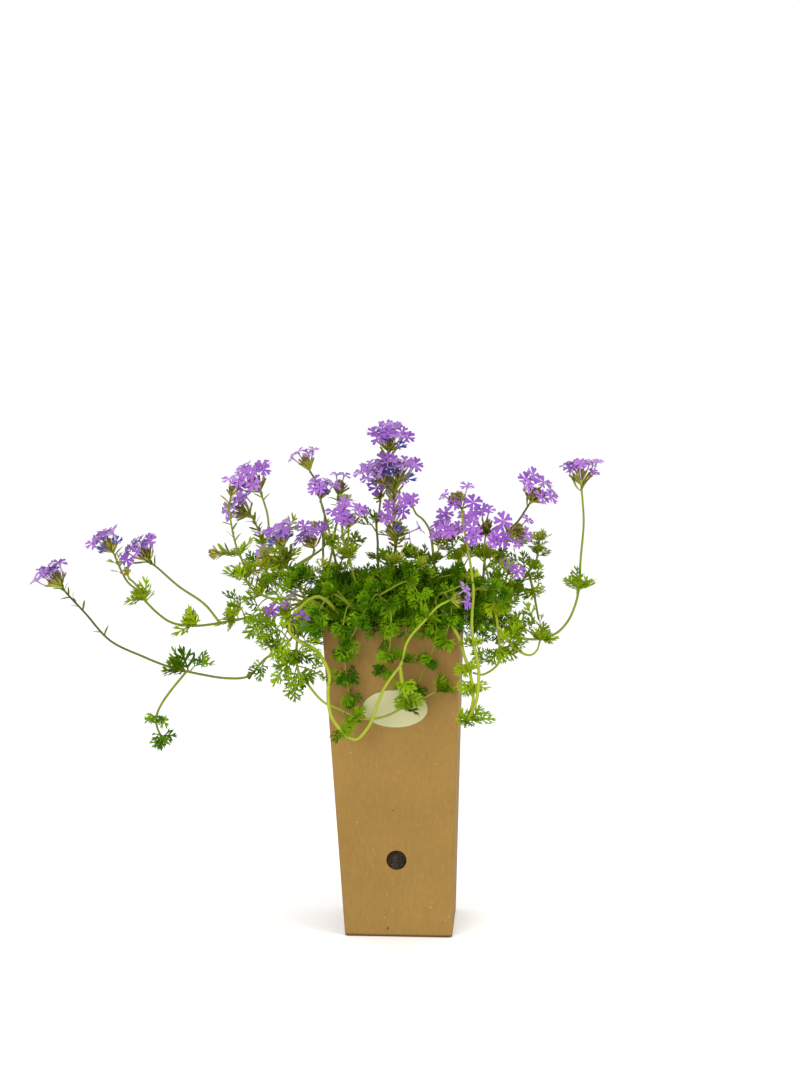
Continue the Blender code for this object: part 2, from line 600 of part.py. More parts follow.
def plan_florets(plan, plant, laid):
    """Set each head's florets on its cap, turned or made smaller where they would cross."""
    dropped = 0
    for points, route in zip(laid, plant.routes):
        head = route.head
        if not head or not head.name:
            continue
        axis = Vector(head.facing).normalized()
        own = []
        for i, (centre, facing, foot) in enumerate(floret_places(points[-1], axis, head)):
            tries = floret_tries(centre, facing, foot, head.share, dice(head.name, i))
            dropped += not place_free(plan, head.name, own, tries)
    return dropped


def leaf_tries(here, along, turn, size, rng):
    """Candidates for a leaf: the first as planned, the others swung further round and smaller."""
    view = (VIEWER - here).normalized()
    side = along.cross(view).normalized()
    facing = along * 0.5 + view * 0.7 + Vector((0, 0, 0.6))
    lean = math.radians(rng.uniform(*LEAF_LEAN))
    length = size * rng.uniform(*LEAF_VARIES)
    for attempt in range(TRIES):
        swing = turn + math.radians(rng.uniform(-12, 12) * attempt)
        tip = lean + math.radians(rng.uniform(-2, 2) * attempt)
        out = side * math.cos(swing) + side.cross(along) * math.sin(swing)
        root = here + out * LEAF_SEAT
        yield leaf(root, along * math.cos(tip) + out * math.sin(tip), facing, length * (1.0 - 0.015 * attempt))


def plan_leaves(plan, node, plant, laid):
    """Set pairs of leaves at each leafy place on a stem, turned until they cross nothing."""
    dropped = 0
    own = []
    spray = node in SPRAYS
    size = SPRAY_LEAF_LENGTH if spray else LEAF_LENGTH
    share = SPRAY_LEAF_SHARE if spray else STEM_LEAF_SHARE
    for order, (points, route) in enumerate(zip(laid, plant.routes)):
        offset = ROOT_POINTS if order == 0 else 0
        line = sampled(points)
        for place, count in route.leaves:
            at = min(place + offset, len(points) - 1.02)
            along = tangent_at(points, at)
            start = math.radians(dice(node, order, place).uniform(-35, 35))
            for i in range(max(1, round(count * share))):
                pair, which = divmod(i, 2)
                here = on_line(line, curve_at(points, at) - along * PAIR_STEP * pair)
                turn = start + math.pi * which + LEAF_SPREAD * pair
                tries = leaf_tries(here, along, turn, size, dice(node, order, place, i))
                dropped += not place_free(plan, node, own, tries)
    return dropped


def new_object(name, mesh, material):
    thing = bpy.data.objects.new(name, mesh)
    bpy.context.scene.collection.objects.link(thing)
    if material is not None:
        mesh.materials.append(material)
    return thing


def mesh_of(name, shell):
    mesh = bpy.data.meshes.new(name)
    mesh.from_pydata([corner * MM for corner in shell.corners], [], shell.faces)
    mesh.update()
    return mesh


def finish_shading(mesh):
    mesh.shade_smooth()
    mesh.set_sharp_from_angle(angle=math.radians(38))


def paint(name, color, roughness):
    material = bpy.data.materials.new(name)
    material.use_nodes = True
    shader = material.node_tree.nodes["Principled BSDF"]
    shader.inputs["Base Color"].default_value = (*color, 1.0)
    shader.inputs["Roughness"].default_value = roughness
    shader.inputs["Metallic"].default_value = 0.0
    return material


def fuse(name, shells, material):
    """One solid from a node's overlapping shells: a single Boolean union on a collection."""
    thing = new_object(name, mesh_of(name, shells[0]), material)
    group = bpy.data.collections.new(name + "_pieces")
    bpy.context.scene.collection.children.link(group)
    for i, shell in enumerate(shells[1:]):
        group.objects.link(bpy.data.objects.new(f"{name}_piece_{i}", mesh_of("piece", shell)))
    union = thing.modifiers.new("fuse", "BOOLEAN")
    union.operation = "UNION"
    union.operand_type = "COLLECTION"
    union.collection = group
    union.solver = "MANIFOLD"
    view = bpy.context.evaluated_depsgraph_get()
    fused = bpy.data.meshes.new_from_object(thing.evaluated_get(view))
    thing.modifiers.remove(union)
    thing.data = fused
    for piece in list(group.objects):
        bpy.data.objects.remove(piece)
    bpy.data.collections.remove(group)
    keep_main_body(fused)
    finish_shading(fused)
    return thing


def keep_main_body(mesh):
    """Fill any hollow that fusing sealed, and drop any loose scrap, by keeping the main skin."""
    bm = bmesh.new()
    bm.from_mesh(mesh)
    left = set(bm.verts)
    skins = []
    while left:
        skin, front = set(), [left.pop()]
        while front:
            vert = front.pop()
            skin.add(vert)
            near = {edge.other_vert(vert) for edge in vert.link_edges} & left
            left -= near
            front += near
        skins.append(skin)
    skins.sort(key=len)
    bmesh.ops.delete(bm, geom=[vert for skin in skins[:-1] for vert in skin], context="VERTS")
    bm.to_mesh(mesh)
    bm.free()


def square_ring(half, z, lean):
    """A square with small round corners, standing at a height."""
    ring = []
    inner = half - FOLD_RADIUS
    for corner in range(4):
        sign_x = 1 if corner in (0, 3) else -1
        sign_y = 1 if corner in (0, 1) else -1
        middle = Vector((inner * sign_x, inner * sign_y))
        for step in range(FOLD_STEPS + 1):
            turn = math.radians(90 * corner + 90 * step / FOLD_STEPS)
            ring.append(Vector((lean + middle.x + FOLD_RADIUS * math.cos(turn),
                                middle.y + FOLD_RADIUS * math.sin(turn), z)))
    return ring


def half_width(z):
    return FOOT_HALF + (RIM_HALF - FOOT_HALF) * z / RIM_HEIGHT


def lean_at(z):
    return RIM_LEAN * z / RIM_HEIGHT


def stacked(rings, capped):
    """A closed skin through rings of the same count: capped at its ends, or joined up round."""
    bm = bmesh.new()
    rows = [[bm.verts.new(point * MM) for point in ring] for ring in rings]
    count = len(rows[0])
    pairs = list(zip(rows, rows[1:])) + ([] if capped else [(rows[-1], rows[0])])
    for low, high in pairs:
        for i in range(count):
            bm.faces.new((low[i], low[(i + 1) % count], high[(i + 1) % count], high[i]))
    if capped:
        bm.faces.new(rows[0][::-1])
        bm.faces.new(rows[-1])
    bmesh.ops.recalc_face_normals(bm, faces=bm.faces)
    mesh = bpy.data.meshes.new("skin")
    bm.to_mesh(mesh)
    bm.free()
    return mesh


def hidden_cutter(name, mesh):
    cutter = new_object(name, mesh, None)
    cutter.hide_render = True
    cutter.display_type = "WIRE"
    return cutter


def cylinder_mesh(radius, depth, sides):
    bm = bmesh.new()
    bmesh.ops.create_cone(bm, cap_ends=True, segments=sides, radius1=radius * MM,
                          radius2=radius * MM, depth=depth * MM)
    mesh = bpy.data.meshes.new("rod")
    bm.to_mesh(mesh)
    bm.free()
    return mesh


def make_floor():
    board = stacked([square_ring(FOOT_HALF, 0.0, 0.0), square_ring(FOOT_HALF, BOARD, 0.0)], capped=True)
    return new_object("pot_floor", board, paint("raw_board_edge", RAW_EDGE, 0.9))


def make_sleeve():
    """The four folded walls, with the round hole low on the front."""
    foot = BOARD + GAP
    rings = [square_ring(half_width(foot), foot, lean_at(foot)),
             square_ring(half_width(RIM_HEIGHT), RIM_HEIGHT, RIM_LEAN),
             square_ring(half_width(RIM_HEIGHT) - BOARD, RIM_HEIGHT, RIM_LEAN),
             square_ring(half_width(foot) - BOARD, foot, lean_at(foot))]
    sleeve = new_object("pot_sleeve", stacked(rings, capped=False), paint("kraft_card", CARD, 0.85))
    cutter = hidden_cutter("hole_cutter", cylinder_mesh(HOLE_RADIUS, BOARD + 2 * CUTTER_EXTRA, HOLE_SIDES))
    cutter.rotation_euler = (math.radians(90), 0.0, 0.0)
    cutter.location = Vector((lean_at(HOLE_HEIGHT), -half_width(HOLE_HEIGHT), HOLE_HEIGHT)) * MM
    cut = sleeve.modifiers.new("hole", "BOOLEAN")
    cut.object = cutter
    cut.operation = "DIFFERENCE"
    return sleeve


def make_label():
    """An oval of paper that lies against the front wall, tilted as the wall is."""
    mesh = cylinder_mesh(1.0, 1.0, LABEL_SIDES)
    mesh.transform(Matrix.Diagonal((LABEL_HALF_WIDTH, LABEL_HALF_HEIGHT, LABEL_THICKNESS, 1.0)))
    label = new_object("label", mesh, paint("cream_paper", PAPER, 0.6))
    tilt = math.atan((RIM_HALF - FOOT_HALF) / RIM_HEIGHT)
    label.rotation_euler = (math.radians(90) + tilt, 0.0, 0.0)
    stand_off = (GAP + LABEL_THICKNESS / 2) / math.cos(tilt)
    label.location = Vector((LABEL_SHIFT, -half_width(LABEL_HEIGHT) - stand_off, LABEL_HEIGHT)) * MM
    return label


def make_soil(roots):
    """The potting mix, a block inside the sleeve with a plain hole for each stem."""
    inset = BOARD + GAP
    block = stacked([square_ring(half_width(inset) - inset, inset, lean_at(inset)),
                     square_ring(half_width(SOIL_TOP) - inset, SOIL_TOP, lean_at(SOIL_TOP))], capped=True)
    soil = new_object("soil", block, paint("potting_mix", EARTH, 0.95))
    group = bpy.data.collections.new("root_holes")
    bpy.context.scene.collection.children.link(group)
    rod = cylinder_mesh(STEM_RADIUS + ROOT_HOLE_EXTRA, ROOT_DEPTH + CUTTER_EXTRA, ROOT_HOLE_SIDES)
    for i, (x, y) in enumerate(roots):
        cutter = bpy.data.objects.new(f"root_hole_{i}", rod)
        group.objects.link(cutter)
        cutter.hide_render = True
        cutter.display_type = "WIRE"
        cutter.location = Vector((x, y, SOIL_TOP + (CUTTER_EXTRA - ROOT_DEPTH) / 2)) * MM
    cut = soil.modifiers.new("root_holes", "BOOLEAN")
    cut.operand_type = "COLLECTION"
    cut.collection = group
    cut.operation = "DIFFERENCE"
    return soil


def shell_of(thing):
    """A finished object's skin as a shell, for the plant to keep clear of."""
    view = bpy.context.evaluated_depsgraph_get()
    mesh = thing.evaluated_get(view).to_mesh()
    mesh.calc_loop_triangles()
    corners = [thing.matrix_world @ v.co / MM for v in mesh.vertices]
    return Shell(corners, [tuple(t.vertices) for t in mesh.loop_triangles])


def main():
    for thing in list(bpy.data.objects):
        bpy.data.objects.remove(thing)
    plants = {**STEMS, **SPRAYS}
    pot = [make_floor(), make_sleeve(), make_label(), make_soil([p.root for p in plants.values()])]
    bpy.context.view_layer.update()
    plan = Plan()
    for thing in pot:
        plan.add(thing.name, shell_of(thing))
    laid = {node: plan_stem(plan, node, plant) for node, plant in plants.items()}
    lost = sum(plan_florets(plan, plants[node], laid[node]) for node in plants)
    print("florets left out:", lost)
    lost = sum(plan_leaves(plan, node, plants[node], laid[node]) for node in plants)
    print("leaves left out:", lost)
    greens = paint("verbena_leaf", LEAF_GREEN, 0.55)
    petals = paint("verbena_petal", VIOLET, 0.5)
    made = {thing.name for thing in pot}
    for node, shells in plan.nodes.items():
        if node not in made:
            fuse(node, shells, greens if node in plants else petals)


main()
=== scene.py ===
# %% [markdown]
# # A verbena in a cardboard pot
# A cut-leaved verbena stands in a tall, tapered pot of folded corrugated board. The pot is full of
# dark potting mix. A low mound of finely cut leaves spills over its rim, and thin stems rise or
# trail out of the mound, each with a dome of violet florets at its end.
#
# The solids of the plant are plain: few leaves, few florets, few corners. This script keeps their
# places and grows the real detail on the same stems, so the two agree. Nothing here moves,
# so every piece rides on the one body, `root`.

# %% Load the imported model
import math
import random
from collections import namedtuple

import bmesh
import bpy
import numpy as np
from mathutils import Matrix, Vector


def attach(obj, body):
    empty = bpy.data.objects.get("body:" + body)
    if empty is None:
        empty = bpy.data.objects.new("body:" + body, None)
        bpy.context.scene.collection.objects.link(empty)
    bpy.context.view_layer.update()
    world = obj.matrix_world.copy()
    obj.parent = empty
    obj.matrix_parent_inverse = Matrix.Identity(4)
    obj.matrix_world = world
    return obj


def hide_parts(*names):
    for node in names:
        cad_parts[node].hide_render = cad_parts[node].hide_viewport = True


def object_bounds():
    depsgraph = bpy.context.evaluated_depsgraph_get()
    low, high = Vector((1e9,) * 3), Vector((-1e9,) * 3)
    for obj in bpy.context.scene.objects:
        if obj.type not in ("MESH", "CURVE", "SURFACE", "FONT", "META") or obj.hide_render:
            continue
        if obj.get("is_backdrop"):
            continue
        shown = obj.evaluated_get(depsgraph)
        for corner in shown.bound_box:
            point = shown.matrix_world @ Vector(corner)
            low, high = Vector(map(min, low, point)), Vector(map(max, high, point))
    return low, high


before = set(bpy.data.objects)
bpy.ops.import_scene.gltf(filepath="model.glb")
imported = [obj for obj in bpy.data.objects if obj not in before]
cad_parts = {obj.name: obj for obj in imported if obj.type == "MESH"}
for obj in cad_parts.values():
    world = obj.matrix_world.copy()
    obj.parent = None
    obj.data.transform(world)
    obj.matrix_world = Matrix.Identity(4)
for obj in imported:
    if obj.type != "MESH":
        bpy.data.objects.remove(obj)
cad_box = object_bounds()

print("solids loaded:", len(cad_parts))

# %% [markdown]
# ## The camera
# The photograph was taken from a little to the right of the front and a little above it. A camera
# could be aimed with a Track To constraint, but two angles say the same and are easy to check.
# The lens is long, because the photograph shows almost no perspective.

# %% Camera
MM = 0.001
EYE = np.array((97.7, -1597.0, 466.5))      # millimetres from the middle of the pot's foot
EYE_TURN = math.radians(3.5)
EYE_PITCH = math.radians(6.0)
PHOTO_HIGH, FOCAL_PIXELS = 1067, 2145
SENSOR = 36.0
LENS_SHIFT = -0.0016

camera_data = bpy.data.cameras.new("photo_camera")
camera_data.sensor_fit = "VERTICAL"
camera_data.sensor_height = SENSOR
camera_data.lens = FOCAL_PIXELS / PHOTO_HIGH * SENSOR
camera_data.shift_x = LENS_SHIFT
camera = bpy.data.objects.new("photo_camera", camera_data)
camera.location = EYE * MM
camera.rotation_euler = (math.pi / 2 - EYE_PITCH, 0.0, EYE_TURN)
bpy.context.scene.collection.objects.link(camera)
bpy.context.scene.camera = camera
print("lens:", round(camera_data.lens, 1), "mm")

# %% [markdown]
# ## Light and floor
# The photograph is a studio cut-out: white all round, soft light from every side, and a little
# more of it from the left. A bright even world gives the soft part. Two large lamps add direction:
# the one on the left makes leaves and petals shade each other, and a weaker one on the right
# keeps the pot's right-hand side from going dark.

# %% World, lamps and floor
def area_lamp(name, place, aim, size, power):
    """A square soft lamp, in metres, pointed at a place."""
    data = bpy.data.lights.new(name, "AREA")
    data.size = size
    data.energy = power
    lamp = bpy.data.objects.new(name, data)
    lamp.location = place
    away = np.array(place) - np.array(aim)
    flat = math.hypot(away[0], away[1])
    lamp.rotation_euler = (math.atan2(flat, away[2]), 0.0, math.atan2(away[0], -away[1]))
    bpy.context.scene.collection.objects.link(lamp)


WORLD_LIGHT = 1.08
world = bpy.data.worlds.new("studio")
world.use_nodes = True
background = world.node_tree.nodes["Background"].inputs
background["Color"].default_value = (1.0, 1.0, 1.0, 1.0)
background["Strength"].default_value = WORLD_LIGHT
bpy.context.scene.world = world
bpy.context.scene.view_settings.view_transform = "Standard"

PLANT_MIDDLE = (0.0, 0.0, 0.24)
area_lamp("key_lamp", (-0.7, -1.6, 0.75), PLANT_MIDDLE, 1.1, 18.0)
area_lamp("side_lamp", (1.3, -0.8, 0.9), PLANT_MIDDLE, 0.9, 12.0)

# %% [markdown]
# ## Shader maths in plain Python
# A material is a network of nodes. Writing each one out takes many lines, so this small class
# wraps a socket: adding, multiplying or comparing wraps adds the Math nodes behind the scenes.
# `Finish.node` adds any other kind of node: its settings come first, then what feeds its sockets.

# %% A socket that does arithmetic, and a finish to build with it
class Wire:
    """An output socket in a finish's node tree. Arithmetic on it adds Math nodes."""

    def __init__(self, finish, socket):
        self.finish = finish
        self.socket = socket

    def maths(self, operation, *others):
        return self.finish.node("ShaderNodeMath", {"operation": operation}, [self, *others])

    def __add__(self, other):
        return self.maths("ADD", other)

    __radd__ = __add__

    def __mul__(self, other):
        return self.maths("MULTIPLY", other)

    __rmul__ = __mul__

    def __sub__(self, other):
        return self.maths("SUBTRACT", other)

    def __rsub__(self, other):
        return self.finish.node("ShaderNodeMath", {"operation": "SUBTRACT"}, [other, self])

    def __pow__(self, other):
        return self.maths("POWER", other)

    def above(self, edge, soft):
        """0 below an edge and 1 above it, with a soft step between."""
        return self.finish.node("ShaderNodeMapRange", {"interpolation_type": "SMOOTHSTEP"},
                                {0: self, 1: edge - soft, 2: edge + soft})


class Finish:
    """A material on one Principled shader, and short ways to feed it."""

    def __init__(self, name, roughness, **constants):
        self.material = bpy.data.materials.new(name)
        self.material.use_nodes = True
        self.tree = self.material.node_tree
        self.shader = self.tree.nodes["Principled BSDF"]
        self.shader.inputs["Roughness"].default_value = roughness
        for socket, value in constants.items():
            self.shader.inputs[socket.replace("_", " ")].default_value = value

    def put(self, target, value):
        if isinstance(value, Wire):
            self.tree.links.new(value.socket, target)
        else:
            target.default_value = value

    def node(self, kind, settings=None, feeds=(), out=0):
        """A new node: settings first, then its sockets' values or wires, by order or by key."""
        made = self.tree.nodes.new(kind)
        for name, value in (settings or {}).items():
            setattr(made, name, value)
        for key, value in feeds.items() if isinstance(feeds, dict) else enumerate(feeds):
            self.put(made.inputs[key], value)
        return Wire(self, made.outputs[out])

    def feed(self, socket, value):
        self.put(self.shader.inputs[socket], value)

    def blend(self, mask, dark, light):
        """A colour between two, each a wire or three numbers."""
        dark, light = (c if isinstance(c, Wire) else (*c, 1.0) for c in (dark, light))
        return self.node("ShaderNodeMix", {"data_type": "RGBA"}, {0: mask, 6: dark, 7: light}, out=2)

    def place(self):
        """Where a point is on the object, in metres."""
        return self.node("ShaderNodeTexCoord", out=3)

    def stretched(self, scale):
        return self.node("ShaderNodeMapping", {}, {"Vector": self.place(), "Scale": scale})

    def noise(self, scale, detail=3.0, roughness=0.5, vector=None):
        return self.node("ShaderNodeTexNoise", {}, {"Vector": vector or self.place(), "Scale": scale,
                                                    "Detail": detail, "Roughness": roughness})

    def kept(self, name):
        """A number that the mesh keeps on its corners."""
        return self.node("ShaderNodeAttribute", {"attribute_name": name}, out=2)

    def bump(self, height, distance, strength=1.0):
        self.feed("Normal", self.node("ShaderNodeBump", {}, {"Height": height, "Distance": distance,
                                                              "Strength": strength}))


# %% [markdown]
# ## The floor
# It is only a stage: a wide pale disc under the pot. A single plane would do, but its far edge
# could show as a line, so it is large and nearly as bright as the world around it.

# %% Floor
FLOOR_RADIUS, FLOOR_CORNERS = 9.0, 64       # metres
floor_finish = Finish("pale_floor", 0.6)
floor_tone = floor_finish.noise(3.0)
floor_finish.feed("Base Color", floor_finish.blend(floor_tone, (0.96, 0.96, 0.96), (0.98, 0.98, 0.98)))
floor_mesh = bpy.data.meshes.new("studio_floor")
turns = [math.tau * i / FLOOR_CORNERS for i in range(FLOOR_CORNERS)]
outline = [(FLOOR_RADIUS * math.cos(turn), FLOOR_RADIUS * math.sin(turn), 0.0) for turn in turns]
floor_mesh.from_pydata(outline, [], [tuple(range(FLOOR_CORNERS))])
floor_mesh.materials.append(floor_finish.material)
floor = bpy.data.objects.new("studio_floor", floor_mesh)
bpy.context.scene.collection.objects.link(floor)
floor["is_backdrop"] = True

# %% [markdown]
# ## Gathering a mesh
# A leafy stem is thousands of small faces. Making each leaf an object and joining them would be
# slow, and particle instances would not survive an export. So each piece gathers its corners and
# faces in lists and becomes one mesh at the end. It also keeps three numbers on each corner:
# `tone` (which leaf or petal this is), `along` (from its foot, 0, to its tip, 1) and `age`.

# %% A skin that gathers corners and faces
def add_object(name, mesh, finishes, replaced):
    """The finished object, riding on the body and standing for its node."""
    for finish in finishes:
        mesh.materials.append(finish.material)
    made = bpy.data.objects.new(name, mesh)
    bpy.context.scene.collection.objects.link(made)
    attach(made, "root")
    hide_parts(replaced)
    print(name, len(mesh.polygons), "faces")


class Skin:
    """Corners in millimetres, faces with a finish, and the numbers kept on each corner."""

    def __init__(self):
        self.corners, self.faces, self.slots = [], [], []
        self.kept = {"tone": [], "along": [], "age": []}
        self.count = 0

    def add(self, corners, faces, slot, tone, along, age=0.0):
        self.corners.append(corners)
        self.faces += [tuple(i + self.count for i in face) for face in faces]
        self.slots += [slot] * len(faces)
        self.count += len(corners)
        for name, value in (("tone", tone), ("along", along), ("age", age)):
            self.kept[name].append(np.broadcast_to(np.asarray(value, float), len(corners)))

    def piece(self, name, finishes, replaced, slot):
        """Turns what was gathered into a mesh and its object."""
        mesh = bpy.data.meshes.new(name)
        mesh.from_pydata((np.concatenate(self.corners) * MM).tolist(), [], self.faces)
        mesh.polygons.foreach_set("use_smooth", [True] * len(self.faces))
        for key, values in self.kept.items():
            mesh.attributes.new(key, "FLOAT", "POINT").data.foreach_set("value", np.concatenate(values))
        add_object(name, mesh, finishes, replaced)
        mesh.polygons.foreach_set("material_index", self.slots)
        mesh.update()


def ring_faces(rings, around):
    """Quads between rings of corners that follow each other in a list."""
    faces = []
    for i in range(rings - 1):
        for k in range(around):
            a, b = i * around + k, i * around + (k + 1) % around
            faces.append((a, b, b + around, a + around))
    return faces


def caps(last, around):
    """The faces that fill the first ring and a later one, each facing outwards."""
    return [tuple(range(around))[::-1], tuple(range(last * around, (last + 1) * around))]


def unit(vector):
    return vector / np.linalg.norm(vector)


def square_to(direction):
    """Any unit vector square to a direction."""
    helper = np.array((0, 0, 1.0)) if abs(direction[2]) < 0.8 else np.array((0, 1.0, 0))
    return unit(np.cross(direction, helper))


def dice(*names):
    """Random numbers that depend only on what they are for."""
    return random.Random(" ".join(str(name) for name in names))

# %% [markdown]
# ## The stems' routes
# Each stem is a list of points seen from the front, (x, depth, z) in millimetres, followed by the
# places where its leaves sit. The solids follow the same routes, so a stem drawn here lies inside
# its solid, but for the last points of the far left stem's side shoot. The leaf joints and the way
# some heads face are set more finely here. A smooth curve through few points is easier to correct
# than a long list of them.

# %% Where the stems run
# A head has a name, the way it faces and its share of the full size. A leaf joint is given as its
# place, counted in points along the route, and its number of leaves.
Head = namedtuple("Head", "name facing share", defaults=(1.0,))
Route = namedtuple("Route", "points leaves head", defaults=((), None))
Plant = namedtuple("Plant", "root crown routes")

